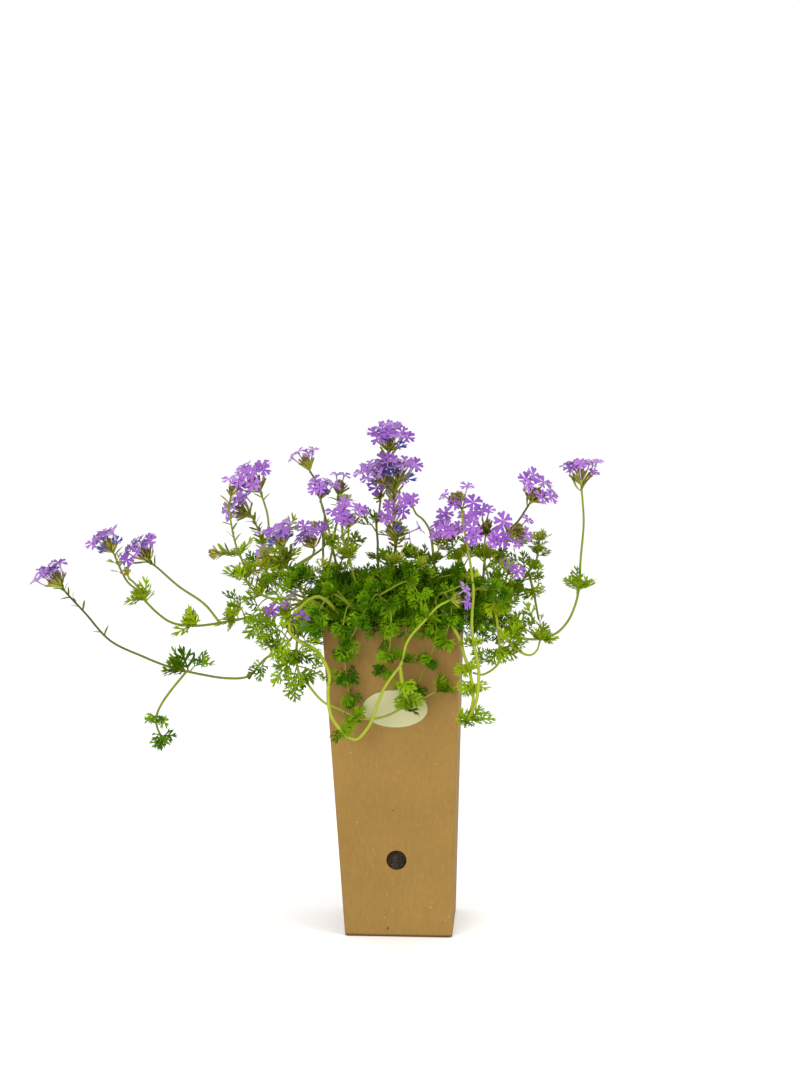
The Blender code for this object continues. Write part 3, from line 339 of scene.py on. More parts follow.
STEMS = {
    "stem_far_left": Plant((-40, -8), (-48, -13, 241), [
        Route([(-60, -20, 243), (-77, -22, 226), (-90, -22, 211), (-104, -20, 202), (-116, -18, 189),
               (-133, -16, 187), (-154, -15, 190), (-176, -14, 195), (-197, -13, 203),
               (-222, -12, 215), (-241, -12, 236), (-254, -12, 250), (-258, -12, 255)],
              [(2.0, 2), (6.6, 6)], Head("bloom_far_left", (-0.52, -0.22, 0.83))),
        Route([(-164, -14, 192), (-176, -17, 177), (-183, -20, 167), (-187, -22, 158),
               (-187, -24, 149), (-184, -26, 142)], [(3.0, 2), (5.0, 3)]),
    ]),
    "stem_left_low": Plant((-42, 6), (-52, 8, 241), [
        Route([(-63, 10, 246), (-85, 10, 243), (-111, 8, 235), (-140, 6, 229), (-158, 4, 227),
               (-174, 3, 229), (-185, 2, 236), (-195, 0, 246), (-200, 0, 253), (-208, 0, 260),
               (-213, 0, 269), (-218, 0, 281)],
              [(2.5, 4), (3.95, 4), (7.0, 4)], Head("bloom_left_low", (-0.5, -0.25, 0.83))),
        Route([(-138, 8, 230), (-150, 12, 244), (-169, 16, 257), (-185, 18, 271), (-191, 18, 275)],
              [], Head("bloom_left_inner", (-0.5, -0.3, 0.8))),
        Route([(-195, 0, 246), (-201, -3, 257), (-207, -6, 263)], [], Head(None, (-0.3, -0.2, 0.9), 0.6)),
    ]),
    "stem_left_upright": Plant((-38, -20), (-46, -27, 240), [
        Route([(-77, -38, 247), (-101, -38, 249), (-116, -36, 259), (-119, -34, 273),
               (-124, -32, 285), (-127, -30, 296), (-130, -28, 315), (-129, -26, 324)],
              [(1.2, 2), (2.4, 4), (3.6, 2)], Head("bloom_pale", (0.2, -0.2, 0.95), 0.7)),
        Route([(-123, -32, 282), (-130, -33, 283), (-136, -34, 282)],
              [], Head(None, (-1.0, -0.1, 0.1), 0.7)),
    ]),
    "stem_left_high": Plant((-34, 0), (-45, 1, 242), [
        Route([(-66, -8, 251), (-88, -2, 266), (-98, 2, 289), (-101, 4, 311), (-103, 6, 319),
               (-106, 7, 328)],
              [(1.2, 4)], Head("bloom_left_high", (-0.48, -0.3, 0.85), 1.12)),
    ]),
    "stem_left_leaning": Plant((-37, 18), (-47, 24, 240), [
        Route([(-73, 19, 249), (-98, 21, 262), (-104, 23, 280), (-105, 25, 289), (-108, 25, 300),
               (-113, 25, 311)],
              [(0.9, 2), (2.0, 4), (3.0, 2)], Head("bloom_left_leaning", (-0.8, -0.3, 0.5))),
    ]),
    "stem_back_tall": Plant((-26, 26), (-35, 27, 241), [
        Route([(-43, 28, 255), (-50, 30, 278), (-55, 32, 301), (-60, 34, 319), (-64, 34, 336),
               (-69, 34, 345)],
              [(0.6, 2)], Head("bloom_back_tall", (-0.35, -0.1, 0.9), 0.85)),
    ]),
    "stem_middle_pair": Plant((-27, 4), (-37, 1, 241), [
        Route([(-56, 4, 255), (-59, 2, 277), (-59, 0, 299), (-58, -1, 312), (-61, -2, 323)],
              [(0.5, 2)], Head("bloom_middle_left", (0.22, -0.35, 0.9), 0.85)),
        Route([(-58, 3, 262), (-53, 12, 282), (-50, 16, 301), (-47, 18, 314), (-48, 19, 326)],
              [(1.5, 2)], Head("bloom_middle_dark", (0.2, 0.1, 1.0), 0.85)),
    ]),
    "stem_middle_front": Plant((-17, -8), (-22, -16, 241), [
        Route([(-31, -26, 250), (-37, -28, 269), (-40, -30, 284), (-40, -30, 301)],
              [(1.8, 4)], Head("bloom_middle_front", (0.0, -0.4, 0.9))),
        Route([(-38, -28, 277), (-43, -16, 290), (-45, -12, 306), (-43, -10, 323)], [(3.0, 4)]),
    ]),
    "stem_left_cluster": Plant((-29, -13), (-39, -15, 244), [
        Route([(-69, -34, 247), (-81, -37, 263), (-88, -40, 277), (-89, -42, 286)],
              [(0.8, 2), (1.8, 2)], Head("bloom_cluster_left", (-0.2, -0.3, 0.92))),
        Route([(-82, -37, 265), (-77, -34, 274), (-68, -29, 280), (-66, -28, 286)],
              [], Head("bloom_cluster_right", (-0.3, -0.4, 0.85), 0.85)),
        Route([(-70, -30, 281), (-63, -24, 284), (-58, -21, 289)], [], Head(None, (0.7, -0.2, 0.6), 0.7)),
    ]),
    "stem_centre": Plant((-9, 6), (-12, 6, 241), [
        Route([(-16, 6, 248), (-13, 7, 268), (-6, 8, 281), (-5, 8, 292), (-6, 8, 308), (-6, 8, 326),
               (-7, 8, 337), (-10, 8, 348), (-10, 8, 359)],
              [(1.4, 4), (3.2, 2)], Head("bloom_top", (0.13, -0.2, 0.97))),
        Route([(-6, 8, 322), (-9, 3, 329), (-13, -1, 334)], [], Head("bloom_top_left", (-0.5, -0.3, 0.85))),
        Route([(-7, 8, 325), (-5, 4, 331), (-3, 2, 335)], [], Head("bloom_top_right", (0.3, -0.35, 0.92))),
        Route([(-5, 8, 284), (-4, -4, 290), (-4, -10, 295)], [], Head("bloom_fading", (0.1, -0.5, 0.85))),
    ]),
    "stem_centre_left": Plant((-13, 18), (-15, 19, 241), [
        Route([(-15, 20, 255), (-18, 20, 278), (-18, 20, 291), (-19, 19, 306), (-17, 18, 314),
               (-16, 17, 323)],
              [(1.0, 2), (3.1, 3)], Head("bloom_centre_left", (-0.2, -0.8, 0.6), 0.7)),
    ]),
    "stem_centre_right": Plant((12, 1), (18, -3, 241), [
        Route([(26, -8, 252), (24, -12, 279), (22, -14, 297), (20, -15, 303), (16, -16, 309),
               (11, -17, 313), (8, -18, 319)],
              [(0.9, 4)], Head("bloom_centre_right", (-0.2, -0.85, 0.5), 0.75)),
    ]),
    "stem_right_trailing": Plant((22, -23), (26, -32, 243), [
        Route([(29, -54, 243), (43, -60, 220), (47, -62, 207), (52, -64, 191), (54, -65, 172),
               (49, -68, 155), (56, -72, 170), (58, -72, 185), (58, -71, 197), (55, -68, 212),
               (53, -64, 226), (53, -60, 239), (54, -54, 255), (52, -46, 273), (50, -38, 286),
               (47, -32, 301), (45, -28, 317)],
              [(2.4, 2), (3.3, 3), (5.0, 3), (9.0, 2)], Head("bloom_right_dark", (-0.4, -0.3, 0.85))),
    ]),
    "stem_right_cluster": Plant((24, -3), (32, -4, 242), [
        Route([(51, -10, 256), (44, -14, 280), (41, -15, 286), (38, -16, 288), (38, -16, 293)],
              [(1.0, 4)], Head("bloom_right_cluster", (0.0, -0.5, 0.85))),
    ]),
    "stem_right_ring": Plant((30, -13), (39, -7, 241), [
        Route([(64, -19, 256), (62, -27, 279), (62, -31, 289), (63, -33, 298)],
              [(1.1, 2)], Head("bloom_right_ring", (0.1, -0.85, 0.52))),
    ]),
    "stem_right_high": Plant((32, 5), (43, 3, 241), [
        Route([(59, -3, 249), (63, 1, 281), (73, 5, 292), (80, 7, 301), (87, 8, 308), (91, 8, 314),
               (96, 8, 322)],
              [(1.0, 4)], Head("bloom_right_high", (0.42, -0.5, 0.76))),
        Route([(62, -1, 272), (73, -9, 280), (78, -13, 290), (81, -15, 298)],
              [(0.8, 2)], Head("bloom_right_side", (0.8, -0.3, 0.35), 0.85)),
    ]),
    "stem_far_right": Plant((37, -4), (47, -9, 241), [
        Route([(59, -16, 245), (74, -20, 232), (85, -18, 222), (99, -14, 219), (112, -10, 222),
               (119, -8, 226), (126, -6, 235), (131, -4, 248), (133, -2, 260), (134, 0, 280),
               (136, 0, 306), (135, 0, 324), (134, 0, 334)],
              [(1.4, 4), (3.3, 4), (7.8, 4)], Head("bloom_far_right", (0.0, -0.15, 1.0))),
    ]),
    "stem_right_leafy": Plant((34, 14), (41, 15, 241), [
        Route([(51, 16, 248), (70, 18, 242), (81, 20, 250), (95, 20, 270), (101, 18, 279), (103, 16, 293)],
              [(1.0, 2), (2.2, 4), (3.2, 4), (4.4, 4), (5.0, 3)]),
        Route([(96, 20, 270), (99, 22, 255), (103, 24, 234)], [(0.8, 2)]),
        Route([(70, 18, 242), (76, 0, 256), (79, -8, 267)],
              [(1.0, 2)], Head("bloom_right_small", (0.3, -0.5, 0.6), 0.6)),
    ]),
    "stem_right_low": Plant((37, -22), (46, -28, 241), [
        Route([(55, -36, 256), (67, -44, 253), (71, -46, 237), (73, -46, 221), (74, -46, 208),
               (72, -48, 199), (62, -54, 192), (54, -58, 193)], [(1.5, 4), (3.7, 4)]),
        Route([(74, -46, 228), (82, -44, 216), (90, -42, 209), (97, -40, 207), (102, -38, 211),
               (104, -36, 218)], [(1.0, 2), (5.0, 2)]),
    ]),
    "stem_front_loop": Plant((-34, -32), (-42, -39, 241), [
        Route([(-63, -50, 250), (-80, -56, 238), (-85, -60, 224), (-76, -64, 215), (-66, -66, 210),
               (-59, -68, 201), (-55, -70, 190), (-56, -72, 175), (-54, -74, 160), (-48, -75, 150),
               (-41, -76, 143), (-34, -76, 141), (-28, -76, 147), (-23, -76, 155), (-19, -76, 167),
               (-13, -76, 181), (-7, -76, 190), (0, -76, 200), (3, -76, 213), (8, -76, 222),
               (18, -76, 233), (27, -76, 243), (36, -75, 248)],
              [(9.0, 2), (17.0, 2), (20.0, 2)], Head("bloom_front", (0.95, -0.3, 0.1), 0.7)),
        Route([(-1, -76, 199), (0, -74, 187), (2, -73, 178), (6, -72, 169)], [(1.0, 2), (2.4, 2)]),
    ]),
    "stem_front_low": Plant((-41, -38), (-52, -41, 241), [
        Route([(-72, -49, 238), (-79, -53, 217), (-79, -55, 195), (-72, -57, 184), (-60, -59, 170),
               (-47, -61, 164), (-36, -62, 158), (-22, -63, 157), (-10, -63, 160), (1, -62, 166),
               (10, -61, 170), (27, -59, 179)],
              [(1.4, 4), (2.4, 4), (5.8, 3), (9.0, 3), (11.0, 3)]),
    ]),
    "stem_left_small": Plant((-44, -27), (-49, -35, 241), [
        Route([(-70, -42, 248), (-80, -52, 242), (-90, -58, 236), (-97, -62, 236)],
              [(1.4, 4)], Head("bloom_left_small", (-0.2, -0.8, 0.4), 0.6)),
    ]),
}

# %% Where the mound's sprays run
SPRAYS = {
    "spray_front_left": Plant((-22, -34), (-27, -44, 241), [
        Route([(-40, -56, 243), (-44, -62, 229), (-44, -62, 213), (-43, -60, 198), (-41, -58, 182),
               (-38, -56, 170)], [(1.0, 2), (2.2, 4), (3.4, 4), (4.6, 4)]),
        Route([(-34, -48, 246), (-52, -58, 252), (-62, -66, 240), (-66, -68, 228)],
              [(1.0, 4), (2.0, 4), (3.0, 3)]),
        Route([(-34, -46, 248), (-60, -40, 264), (-80, -44, 262)], [(0.8, 4), (1.5, 4), (2.0, 3)]),
    ]),
    "spray_front_middle": Plant((-6, -32), (-10, -42, 241), [
        Route([(-18, -56, 252), (-27, -66, 241), (-33, -68, 229), (-39, -66, 217)],
              [(0.5, 4), (1.5, 4), (3.0, 3)]),
        Route([(-14, -54, 256), (-9, -68, 243), (-8, -70, 229), (-9, -68, 212), (-13, -64, 197)],
              [(0.8, 4), (2.0, 3), (3.2, 2), (4.0, 3)]),
        Route([(-8, -52, 258), (4, -60, 262), (13, -68, 252), (17, -70, 240)],
              [(1.0, 4), (2.0, 4), (3.0, 3)]),
    ]),
    "spray_front_right": Plant((12, -36), (21, -42, 242), [
        Route([(30, -54, 254), (37, -60, 244), (36, -62, 232), (33, -62, 220)],
              [(0.6, 4), (1.6, 4), (3.0, 3)]),
        Route([(24, -56, 245), (26, -60, 229), (24, -60, 212), (17, -58, 196), (12, -56, 183)],
              [(1.0, 4), (2.4, 3), (4.0, 3)]),
        Route([(30, -46, 256), (56, -46, 262), (74, -50, 252)], [(0.8, 4), (1.5, 4), (2.0, 3)]),
    ]),
    "spray_back_left": Plant((-38, 32), (-49, 34, 241), [
        Route([(-60, 36, 262), (-80, 42, 256)], [(0.3, 4), (1.0, 4)]),
        Route([(-46, 50, 262), (-58, 66, 248), (-62, 74, 234)], [(0.6, 4), (1.4, 4), (2.0, 3)]),
        Route([(-42, 36, 268), (-44, 40, 280)], [(0.2, 4), (1.0, 4)]),
    ]),
    "spray_back": Plant((-3, 36), (-11, 44, 241), [
        Route([(-18, 53, 262), (-26, 69, 246), (-29, 75, 230)], [(0.6, 4), (1.4, 4), (2.0, 3)]),
        Route([(6, 53, 264), (12, 71, 248), (14, 77, 232)], [(0.6, 4), (1.4, 4), (2.0, 3)]),
        Route([(2, 37, 268), (4, 41, 281)], [(0.2, 4), (1.0, 4)]),
    ]),
    "spray_back_right": Plant((32, 30), (43, 33, 241), [
        Route([(60, 36, 262), (84, 42, 256)], [(0.3, 4), (1.0, 4)]),
        Route([(44, 52, 262), (54, 66, 246), (58, 74, 232)], [(0.6, 4), (1.4, 4), (2.0, 3)]),
        Route([(38, 32, 268), (42, 36, 280)], [(0.2, 4), (1.0, 4)]),
    ]),
    "spray_top": Plant((2, -14), (0, -18, 241), [
        Route([(-4, -22, 262), (-6, -28, 276)], [(0.2, 4), (1.0, 4)]),
        Route([(8, -26, 262), (14, -36, 272)], [(0.5, 4), (1.0, 4)]),
        Route([(6, -18, 262), (14, -8, 276)], [(0.5, 4), (1.0, 4)]),
        Route([(4, -20, 258), (40, -34, 268)], [(0.5, 4), (1.0, 4)]),
    ]),
}

print("leafy stems:", len(STEMS), "sprays:", len(SPRAYS))

# %% [markdown]
# A stem's point slides along the camera's line of sight to its depth, so that what was placed on
# the flat photograph stays in line with it. Between points, the stem follows a Catmull-Rom curve:
# it passes through every point, which a Bezier curve with free handles would not.

# %% From the route to a curve in space
RIM_HEIGHT = 235.0
SOIL_TOP = RIM_HEIGHT - 9.0
ROOT_DEPTH = 13.7
COLLAR = 3.0
ROOT_POINTS = 4
CURVE_STEP = 2.5


def seen(point):
    """A point of the flat photograph, moved along the line of sight to its depth."""
    x, depth, z = point
    flat = np.array((x, 0.0, z))
    return EYE + (flat - EYE) * ((depth - EYE[1]) / -EYE[1])


def curve_at(points, place):
    """A point on the smooth curve through the points, at a place from 0 up."""
    last = len(points) - 1
    i = min(max(int(place), 0), last - 1)
    t = min(max(place - i, 0.0), 1.0)
    before = points[i - 1] if i > 0 else points[0] * 2 - points[1]
    after = points[i + 2] if i + 2 <= last else points[last] * 2 - points[last - 1]
    a, b = points[i], points[i + 1]
    return 0.5 * (2 * a + (b - before) * t + (2 * before - 5 * a + 4 * b - after) * t * t
                  + (3 * a - before - 3 * b + after) * t ** 3)


def tangent_at(points, place):
    return unit(curve_at(points, place + 0.05) - curve_at(points, place - 0.05))


def fine_line(points, step=CURVE_STEP):
    """Closely spaced places along the smooth curve."""
    line = [points[0]]
    for i in range(len(points) - 1):
        steps = max(1, round(np.linalg.norm(points[i + 1] - points[i]) / step))
        line += [curve_at(points, i + k / steps) for k in range(1, steps + 1)]
    return np.array(line)


def nearest(line, point):
    return line[np.argmin(np.linalg.norm(line - point, axis=1))]


def route_points(plant, route, main):
    """A main route starts at its root in the soil, a side one on the main stem."""
    points = [seen(point) for point in route.points]
    if main is not None:
        return [nearest(fine_line(main), points[0])] + points[1:]
    heights = (SOIL_TOP - ROOT_DEPTH, SOIL_TOP - COLLAR, SOIL_TOP + COLLAR)
    roots = [np.array((*plant.root, z), float) for z in heights]
    return roots + [np.array(plant.crown, float)] + points


def laid_out(plant):
    main = route_points(plant, plant.routes[0], None)
    return [main] + [route_points(plant, route, main) for route in plant.routes[1:]]


longest = max(len(fine_line(laid_out(plant)[0])) for plant in STEMS.values())
print("longest stem:", round(longest * CURVE_STEP), "mm")

# %% [markdown]
# ## Stem
# The real stem is a slim rod, slightly four-sided, a little swollen where leaves join it, and paler
# and greener towards the light. A curve object with a bevel would give an even rod. Here rings are
# swept along the line instead, so each ring can swell and the ridges can be kept.

# %% Sweep a stem
STEM_SIDES = 8
RIDGES, RIDGE = 4, 0.07


def sweep(skin, line, radii, slot, tone, sides=STEM_SIDES, ridge=RIDGE, age=0.0):
    """Rings along a line, closed at both ends."""
    turn = np.arange(sides) * math.tau / sides
    lobes = 1.0 + ridge * np.cos(RIDGES * turn)
    side = square_to(line[1] - line[0])
    rings = []
    for i, point in enumerate(line):
        along = unit(line[min(i + 1, len(line) - 1)] - line[max(i - 1, 0)])
        side = unit(side - along * side.dot(along))
        other = np.cross(along, side)
        ring = np.outer(np.cos(turn) * lobes, side) + np.outer(np.sin(turn) * lobes, other)
        rings.append(point + ring * radii[i])
    faces = ring_faces(len(line), sides) + caps(len(line) - 1, sides)
    along = np.repeat(np.linspace(0.0, 1.0, len(line)), sides)
    skin.add(np.concatenate(rings), faces, slot, tone, along, age)


# %% [markdown]
# ## A cut leaf
# The leaf is 8 to 20 mm long and cut almost to its rib: a stalk, then narrow pointed fingers that
# spread like a fan and are forked again. Leaves near a flower head have fewer fingers, and the
# bracts just under it are single blades. A flat card with a picture of a leaf would look wrong from
# the side, and one filled outline bends badly. So a leaf is built as it grows: a narrow ribbon for
# the rib, one for each finger and one for each fork, all with a crease down the middle.

# %% Leaf shapes, flat and one unit long
FlatShape = namedtuple("FlatShape", "flat faces along")
FINGERS = ((0.20, 0.52, 46, 2), (0.42, 0.45, 38, 1), (0.64, 0.32, 32, 0))   # place, reach, angle, forks
FEW_FINGERS = ((0.32, 0.46, 32, 0), (0.58, 0.32, 28, 0))
FORKS = ((1, 0.50, 1), (2, 0.36, -1))       # point of the finger, length, side
FINGER_WIDTH = 0.046
FINGER_WIDTHS = (FINGER_WIDTH * 0.85, FINGER_WIDTH, FINGER_WIDTH * 0.9)
FORK_WIDTHS = (FINGER_WIDTH * 0.8, FINGER_WIDTH * 0.85)
FINGER_STEPS = (0.42, 0.33, 0.25)
RIB_PLACES = (0.0, 0.20, 0.42, 0.64, 0.84, 1.0)
RIB_WIDTHS = (0.028, 0.026, 0.036, 0.043, 0.038)
BRACT_WIDTHS = (0.050, 0.088, 0.104, 0.092, 0.062)
CREASE = 0.014
RIB_BEND, PLACE_VARIES, ANGLE_VARIES, REACH_VARIES = 0.06, 0.04, 9, (0.80, 1.15)
CURL, FORK_TURN, FORK_BEND, FORK_KNEE = (-10, 5), (28, 42), 8, 0.55


def ribbon(points, widths, flat, faces, along, base):
    """Adds a narrow strip: three corners across at each point and a single one at its tip."""
    first = len(flat)
    for i, (point, width) in enumerate(zip(points, widths)):
        ahead = unit(points[i + 1] - point)
        across = np.array((-ahead[1], ahead[0]))
        for sign in (-1, 0, 1):
            u, v = point + across * width * sign
            flat.append((u, v, CREASE * abs(sign)))
            along.append(base + (1 - base) * i / len(points))
    flat.append((*points[-1], CREASE / 2))
    along.append(1.0)
    for i in range(len(widths) - 1):
        a = first + 3 * i
        faces += [(a, a + 3, a + 4, a + 1), (a + 1, a + 4, a + 5, a + 2)]
    end = first + 3 * (len(widths) - 1)
    faces += [(end, len(flat) - 1, end + 1), (end + 1, len(flat) - 1, end + 2)]


def heading(degrees):
    return np.array((math.cos(math.radians(degrees)), math.sin(math.radians(degrees))))


def finger_line(root, turn, reach, curl):
    """Four points of a finger that curls a little as it goes."""
    points = [root]
    for step, share in enumerate(FINGER_STEPS):
        points.append(points[-1] + heading(turn + curl * step) * reach * share)
    return points


def leaf_shape(rng, fingers, rib_widths=RIB_WIDTHS):
    """A rib with fingers on both its sides, and forks on the fingers."""
    flat, faces, along = [], [], []
    bend = rng.uniform(-RIB_BEND, RIB_BEND)
    rib = [np.array((u, bend * u * u)) for u in RIB_PLACES]
    ribbon(rib, rib_widths, flat, faces, along, 0.0)
    for start, reach, angle, forks in fingers:
        for sign in (-1, 1):
            root = np.array((start + rng.uniform(-PLACE_VARIES, PLACE_VARIES), 0.0))
            turn = sign * (angle + rng.uniform(-ANGLE_VARIES, ANGLE_VARIES))
            here = reach * rng.uniform(*REACH_VARIES)
            line = finger_line(root, turn, here, sign * rng.uniform(*CURL))
            ribbon(line, FINGER_WIDTHS, flat, faces, along, 0.3)
            for point, length, side in FORKS[:forks]:
                fork_turn = turn + side * sign * rng.uniform(*FORK_TURN)
                fork = [line[point], line[point] + heading(fork_turn) * here * length * FORK_KNEE,
                        line[point] + heading(fork_turn - side * sign * FORK_BEND) * here * length]
                ribbon(fork, FORK_WIDTHS, flat, faces, along, 0.6)
    return FlatShape(np.array(flat), faces, np.array(along))


CUT_LEAVES = [leaf_shape(dice("leaf", i), FINGERS) for i in range(8)]
UPPER_LEAVES = [leaf_shape(dice("upper leaf", i), FEW_FINGERS) for i in range(6)]
BRACTS = [leaf_shape(dice("bract", i), (), BRACT_WIDTHS) for i in range(3)]
print("faces in a leaf:", len(CUT_LEAVES[0].faces))

# %% [markdown]
# A leaf joins its stem by its foot. It droops to its tip, its fingers lift at the sides like a
# shallow boat, and no two twist alike. Bending a few stored meshes with a modifier would repeat
# itself, so the bend is worked out for each leaf as it is placed.

# %% Place a leaf
DROOP, FINGER_LIFT, TWIST, BOW = (0.05, 0.36), (0.10, 0.55), (-0.5, 0.5), (-0.10, 0.10)


def grow_leaf(skin, root, along, facing, length, shape, slot, rng, age=0.0):
    """One leaf at a root, growing along a direction with its upper side to `facing`."""
    along = unit(along)
    up = unit(facing - along * facing.dot(along))
    side = np.cross(along, up)
    u, v, rise = shape.flat.T
    droop, lift, twist = (rng.uniform(*spread) for spread in (DROOP, FINGER_LIFT, TWIST))
    height = rise + lift * np.abs(v) - droop * u * u + twist * u * v
    bow = rng.uniform(*BOW) * u * u
    places = np.outer(u, along) + np.outer(v + bow, side) + np.outer(height, up)
    skin.add(root + places * length, shape.faces, slot, rng.random(), shape.along, age)


# %% [markdown]
# ## A calyx
# Under every floret is a calyx: a slender green cup with five teeth, often stained purple-brown at
# its tips. A cone would be quick, but heads are seen from the side, where the teeth show. So the
# cup is a ring of ten corners swept up in four steps, and every second corner of its mouth is
# pulled out into a tooth.

# %% Calyx
CUP_COLUMNS = 10
CUP_RINGS = ((0.0, 0.40), (0.25, 0.62), (0.55, 0.90), (0.82, 0.86))     # height and width
TOOTH_RISE, TOOTH_WIDTH = (1.0, 1.12), 0.95
GAP_RISE, GAP_WIDTH, GAP_ALONG = 0.86, 0.80, 0.84


def calyx(skin, foot, tip, width, slot, rng):
    """A toothed cup from its foot to its teeth's tips, `width` across its mouth."""
    axis = unit(tip - foot)
    length = np.linalg.norm(tip - foot)
    side = square_to(axis)
    other = np.cross(axis, side)
    turn = np.arange(CUP_COLUMNS) * math.tau / CUP_COLUMNS + rng.uniform(0, math.tau)
    ring = np.outer(np.cos(turn), side) + np.outer(np.sin(turn), other)
    teeth = np.arange(CUP_COLUMNS) % 2
    rows, along = [], []
    bow = side * rng.uniform(-0.5, 0.5) * length
    for rise, share in CUP_RINGS:
        centre = foot + axis * rise * length + bow * rise * (GAP_ALONG - rise)
        rows.append(centre + ring * width / 2 * share)
        along += [rise] * CUP_COLUMNS
    crown_rise = np.where(teeth == 1, rng.uniform(*TOOTH_RISE), GAP_RISE)
    crown_share = np.where(teeth == 1, TOOTH_WIDTH, GAP_WIDTH)
    rows.append(foot + np.outer(crown_rise * length, axis) + ring * (crown_share * width / 2)[:, None])
    along += list(np.where(teeth == 1, 1.0, GAP_ALONG))
    faces = ring_faces(len(rows), CUP_COLUMNS) + caps(len(rows) - 2, CUP_COLUMNS)
    skin.add(np.concatenate(rows), faces, slot, rng.random(), np.array(along))


# %% [markdown]
# ## A floret
# A floret is a slender tube that opens into five petals, each narrow at its foot, wide at its end
# and notched there. It could be a five-lobed disc, but then the gaps between petals are lost, and
# those make the heads look light. Each petal is a small grid of corners: rows from the throat
# outwards, columns across. The last row is drawn in at its middle, which makes the notch.

# %% Petals, flat and one unit across from the middle
PETAL_COUNT = 5
PETAL_ROWS = (0.13, 0.34, 0.58, 0.80, 1.0)
PETAL_WIDTHS = (0.09, 0.16, 0.27, 0.39, 0.40)
PETAL_COLUMNS = (-1.0, -0.5, 0.0, 0.5, 1.0)
NOTCH = (0.86, 1.0, 0.76, 1.0, 0.86)
PETAL_TURN, PETAL_REACH, PETAL_CUP = 0.07, (0.88, 1.10), (-0.12, 0.26)
ARCH, RIPPLE, CURL_IN, SHRINK = 0.10, 0.045, 1.1, 0.55


def floret_shape(rng, openness):
    """Corners (x, y, out) and faces of five petals. An old floret is narrower and half closed."""
    flat, faces, along = [], [], []
    for k in range(PETAL_COUNT):
        first = len(flat)
        turn = math.tau * k / PETAL_COUNT + rng.uniform(-PETAL_TURN, PETAL_TURN)
        reach = rng.uniform(*PETAL_REACH)
        cup = rng.uniform(*PETAL_CUP) + (1 - openness) * CURL_IN
        ripple = rng.uniform(0.0, math.tau)
        for row, width in zip(PETAL_ROWS, PETAL_WIDTHS):
            for column, notch in zip(PETAL_COLUMNS, NOTCH):
                r = reach * row * (notch if row == 1.0 else 1.0)
                across = width * column * (0.45 + 0.55 * openness)
                wave = RIPPLE * math.sin(ripple + 5 * column + 4 * r) * r
                out = cup * r * r - ARCH * abs(column) * r + wave
                x, y = r * (1.0 - SHRINK * (1 - openness) * r), across
                flat.append((x * math.cos(turn) - y * math.sin(turn),
                             x * math.sin(turn) + y * math.cos(turn), out))
                along.append(row)
        wide = len(PETAL_COLUMNS)
        for i in range(len(PETAL_ROWS) - 1):
            for j in range(wide - 1):
                a = first + i * wide + j
                faces.append((a, a + wide, a + wide + 1, a + 1))
    return FlatShape(np.array(flat), faces, np.array(along))


HALF_CLOSED = 0.35
OPEN_FLORETS = [floret_shape(dice("floret", i), 1.0) for i in range(6)]
OLD_FLORETS = [floret_shape(dice("old floret", i), HALF_CLOSED) for i in range(4)]
print("faces in a floret:", len(OPEN_FLORETS[0].faces))

# %% Place a floret on its tube
PETAL_SPREAD = 6.85
TUBE_RADII = np.array((0.55, 0.55, 0.55, 0.55, 0.75, 0.95))
TUBE_BEND = 0.45
PETALS, TUBE = 0, 1


def grow_floret(skin, foot, throat, facing, spread, rng, old=False):
    """A curved tube from the calyx to the throat, with the petals round its mouth."""
    facing = unit(facing)
    side = square_to(facing)
    other = np.cross(facing, side)
    turn = rng.uniform(0, math.tau)
    side, other = (side * math.cos(turn) + other * math.sin(turn),
                   other * math.cos(turn) - side * math.sin(turn))
    shape = rng.choice(OLD_FLORETS if old else OPEN_FLORETS)
    x, y, out = shape.flat.T
    places = np.outer(x, side) + np.outer(y, other) + np.outer(out, facing)
    tone = rng.random()
    age = 1.0 if old else 0.0
    skin.add(throat + places * spread, shape.faces, PETALS, tone, shape.along, age)
    bend = throat - facing * np.linalg.norm(throat - foot) * TUBE_BEND
    steps = np.linspace(0.0, 1.0, len(TUBE_RADII))[:, None]
    line = foot * (1 - steps) ** 2 + 2 * bend * steps * (1 - steps) + throat * steps ** 2
    sweep(skin, line, TUBE_RADII, TUBE, tone, sides=7, ridge=0.0, age=age)

# %% [markdown]
# ## A flower head
# A head is a short spike of calyxes that fan out from the stem's end. The youngest, in the middle,
# are closed and green or brown. The others each hold a floret. The outer tubes bend up, so the
# petals meet in a low dome, or in a flat plate where the head is young. The faded florets are
# indigo, half closed, and sit low on the head. Every head in the photograph is at its own stage,
# so its numbers are set one by one. A particle system could scatter florets, but not stage them.

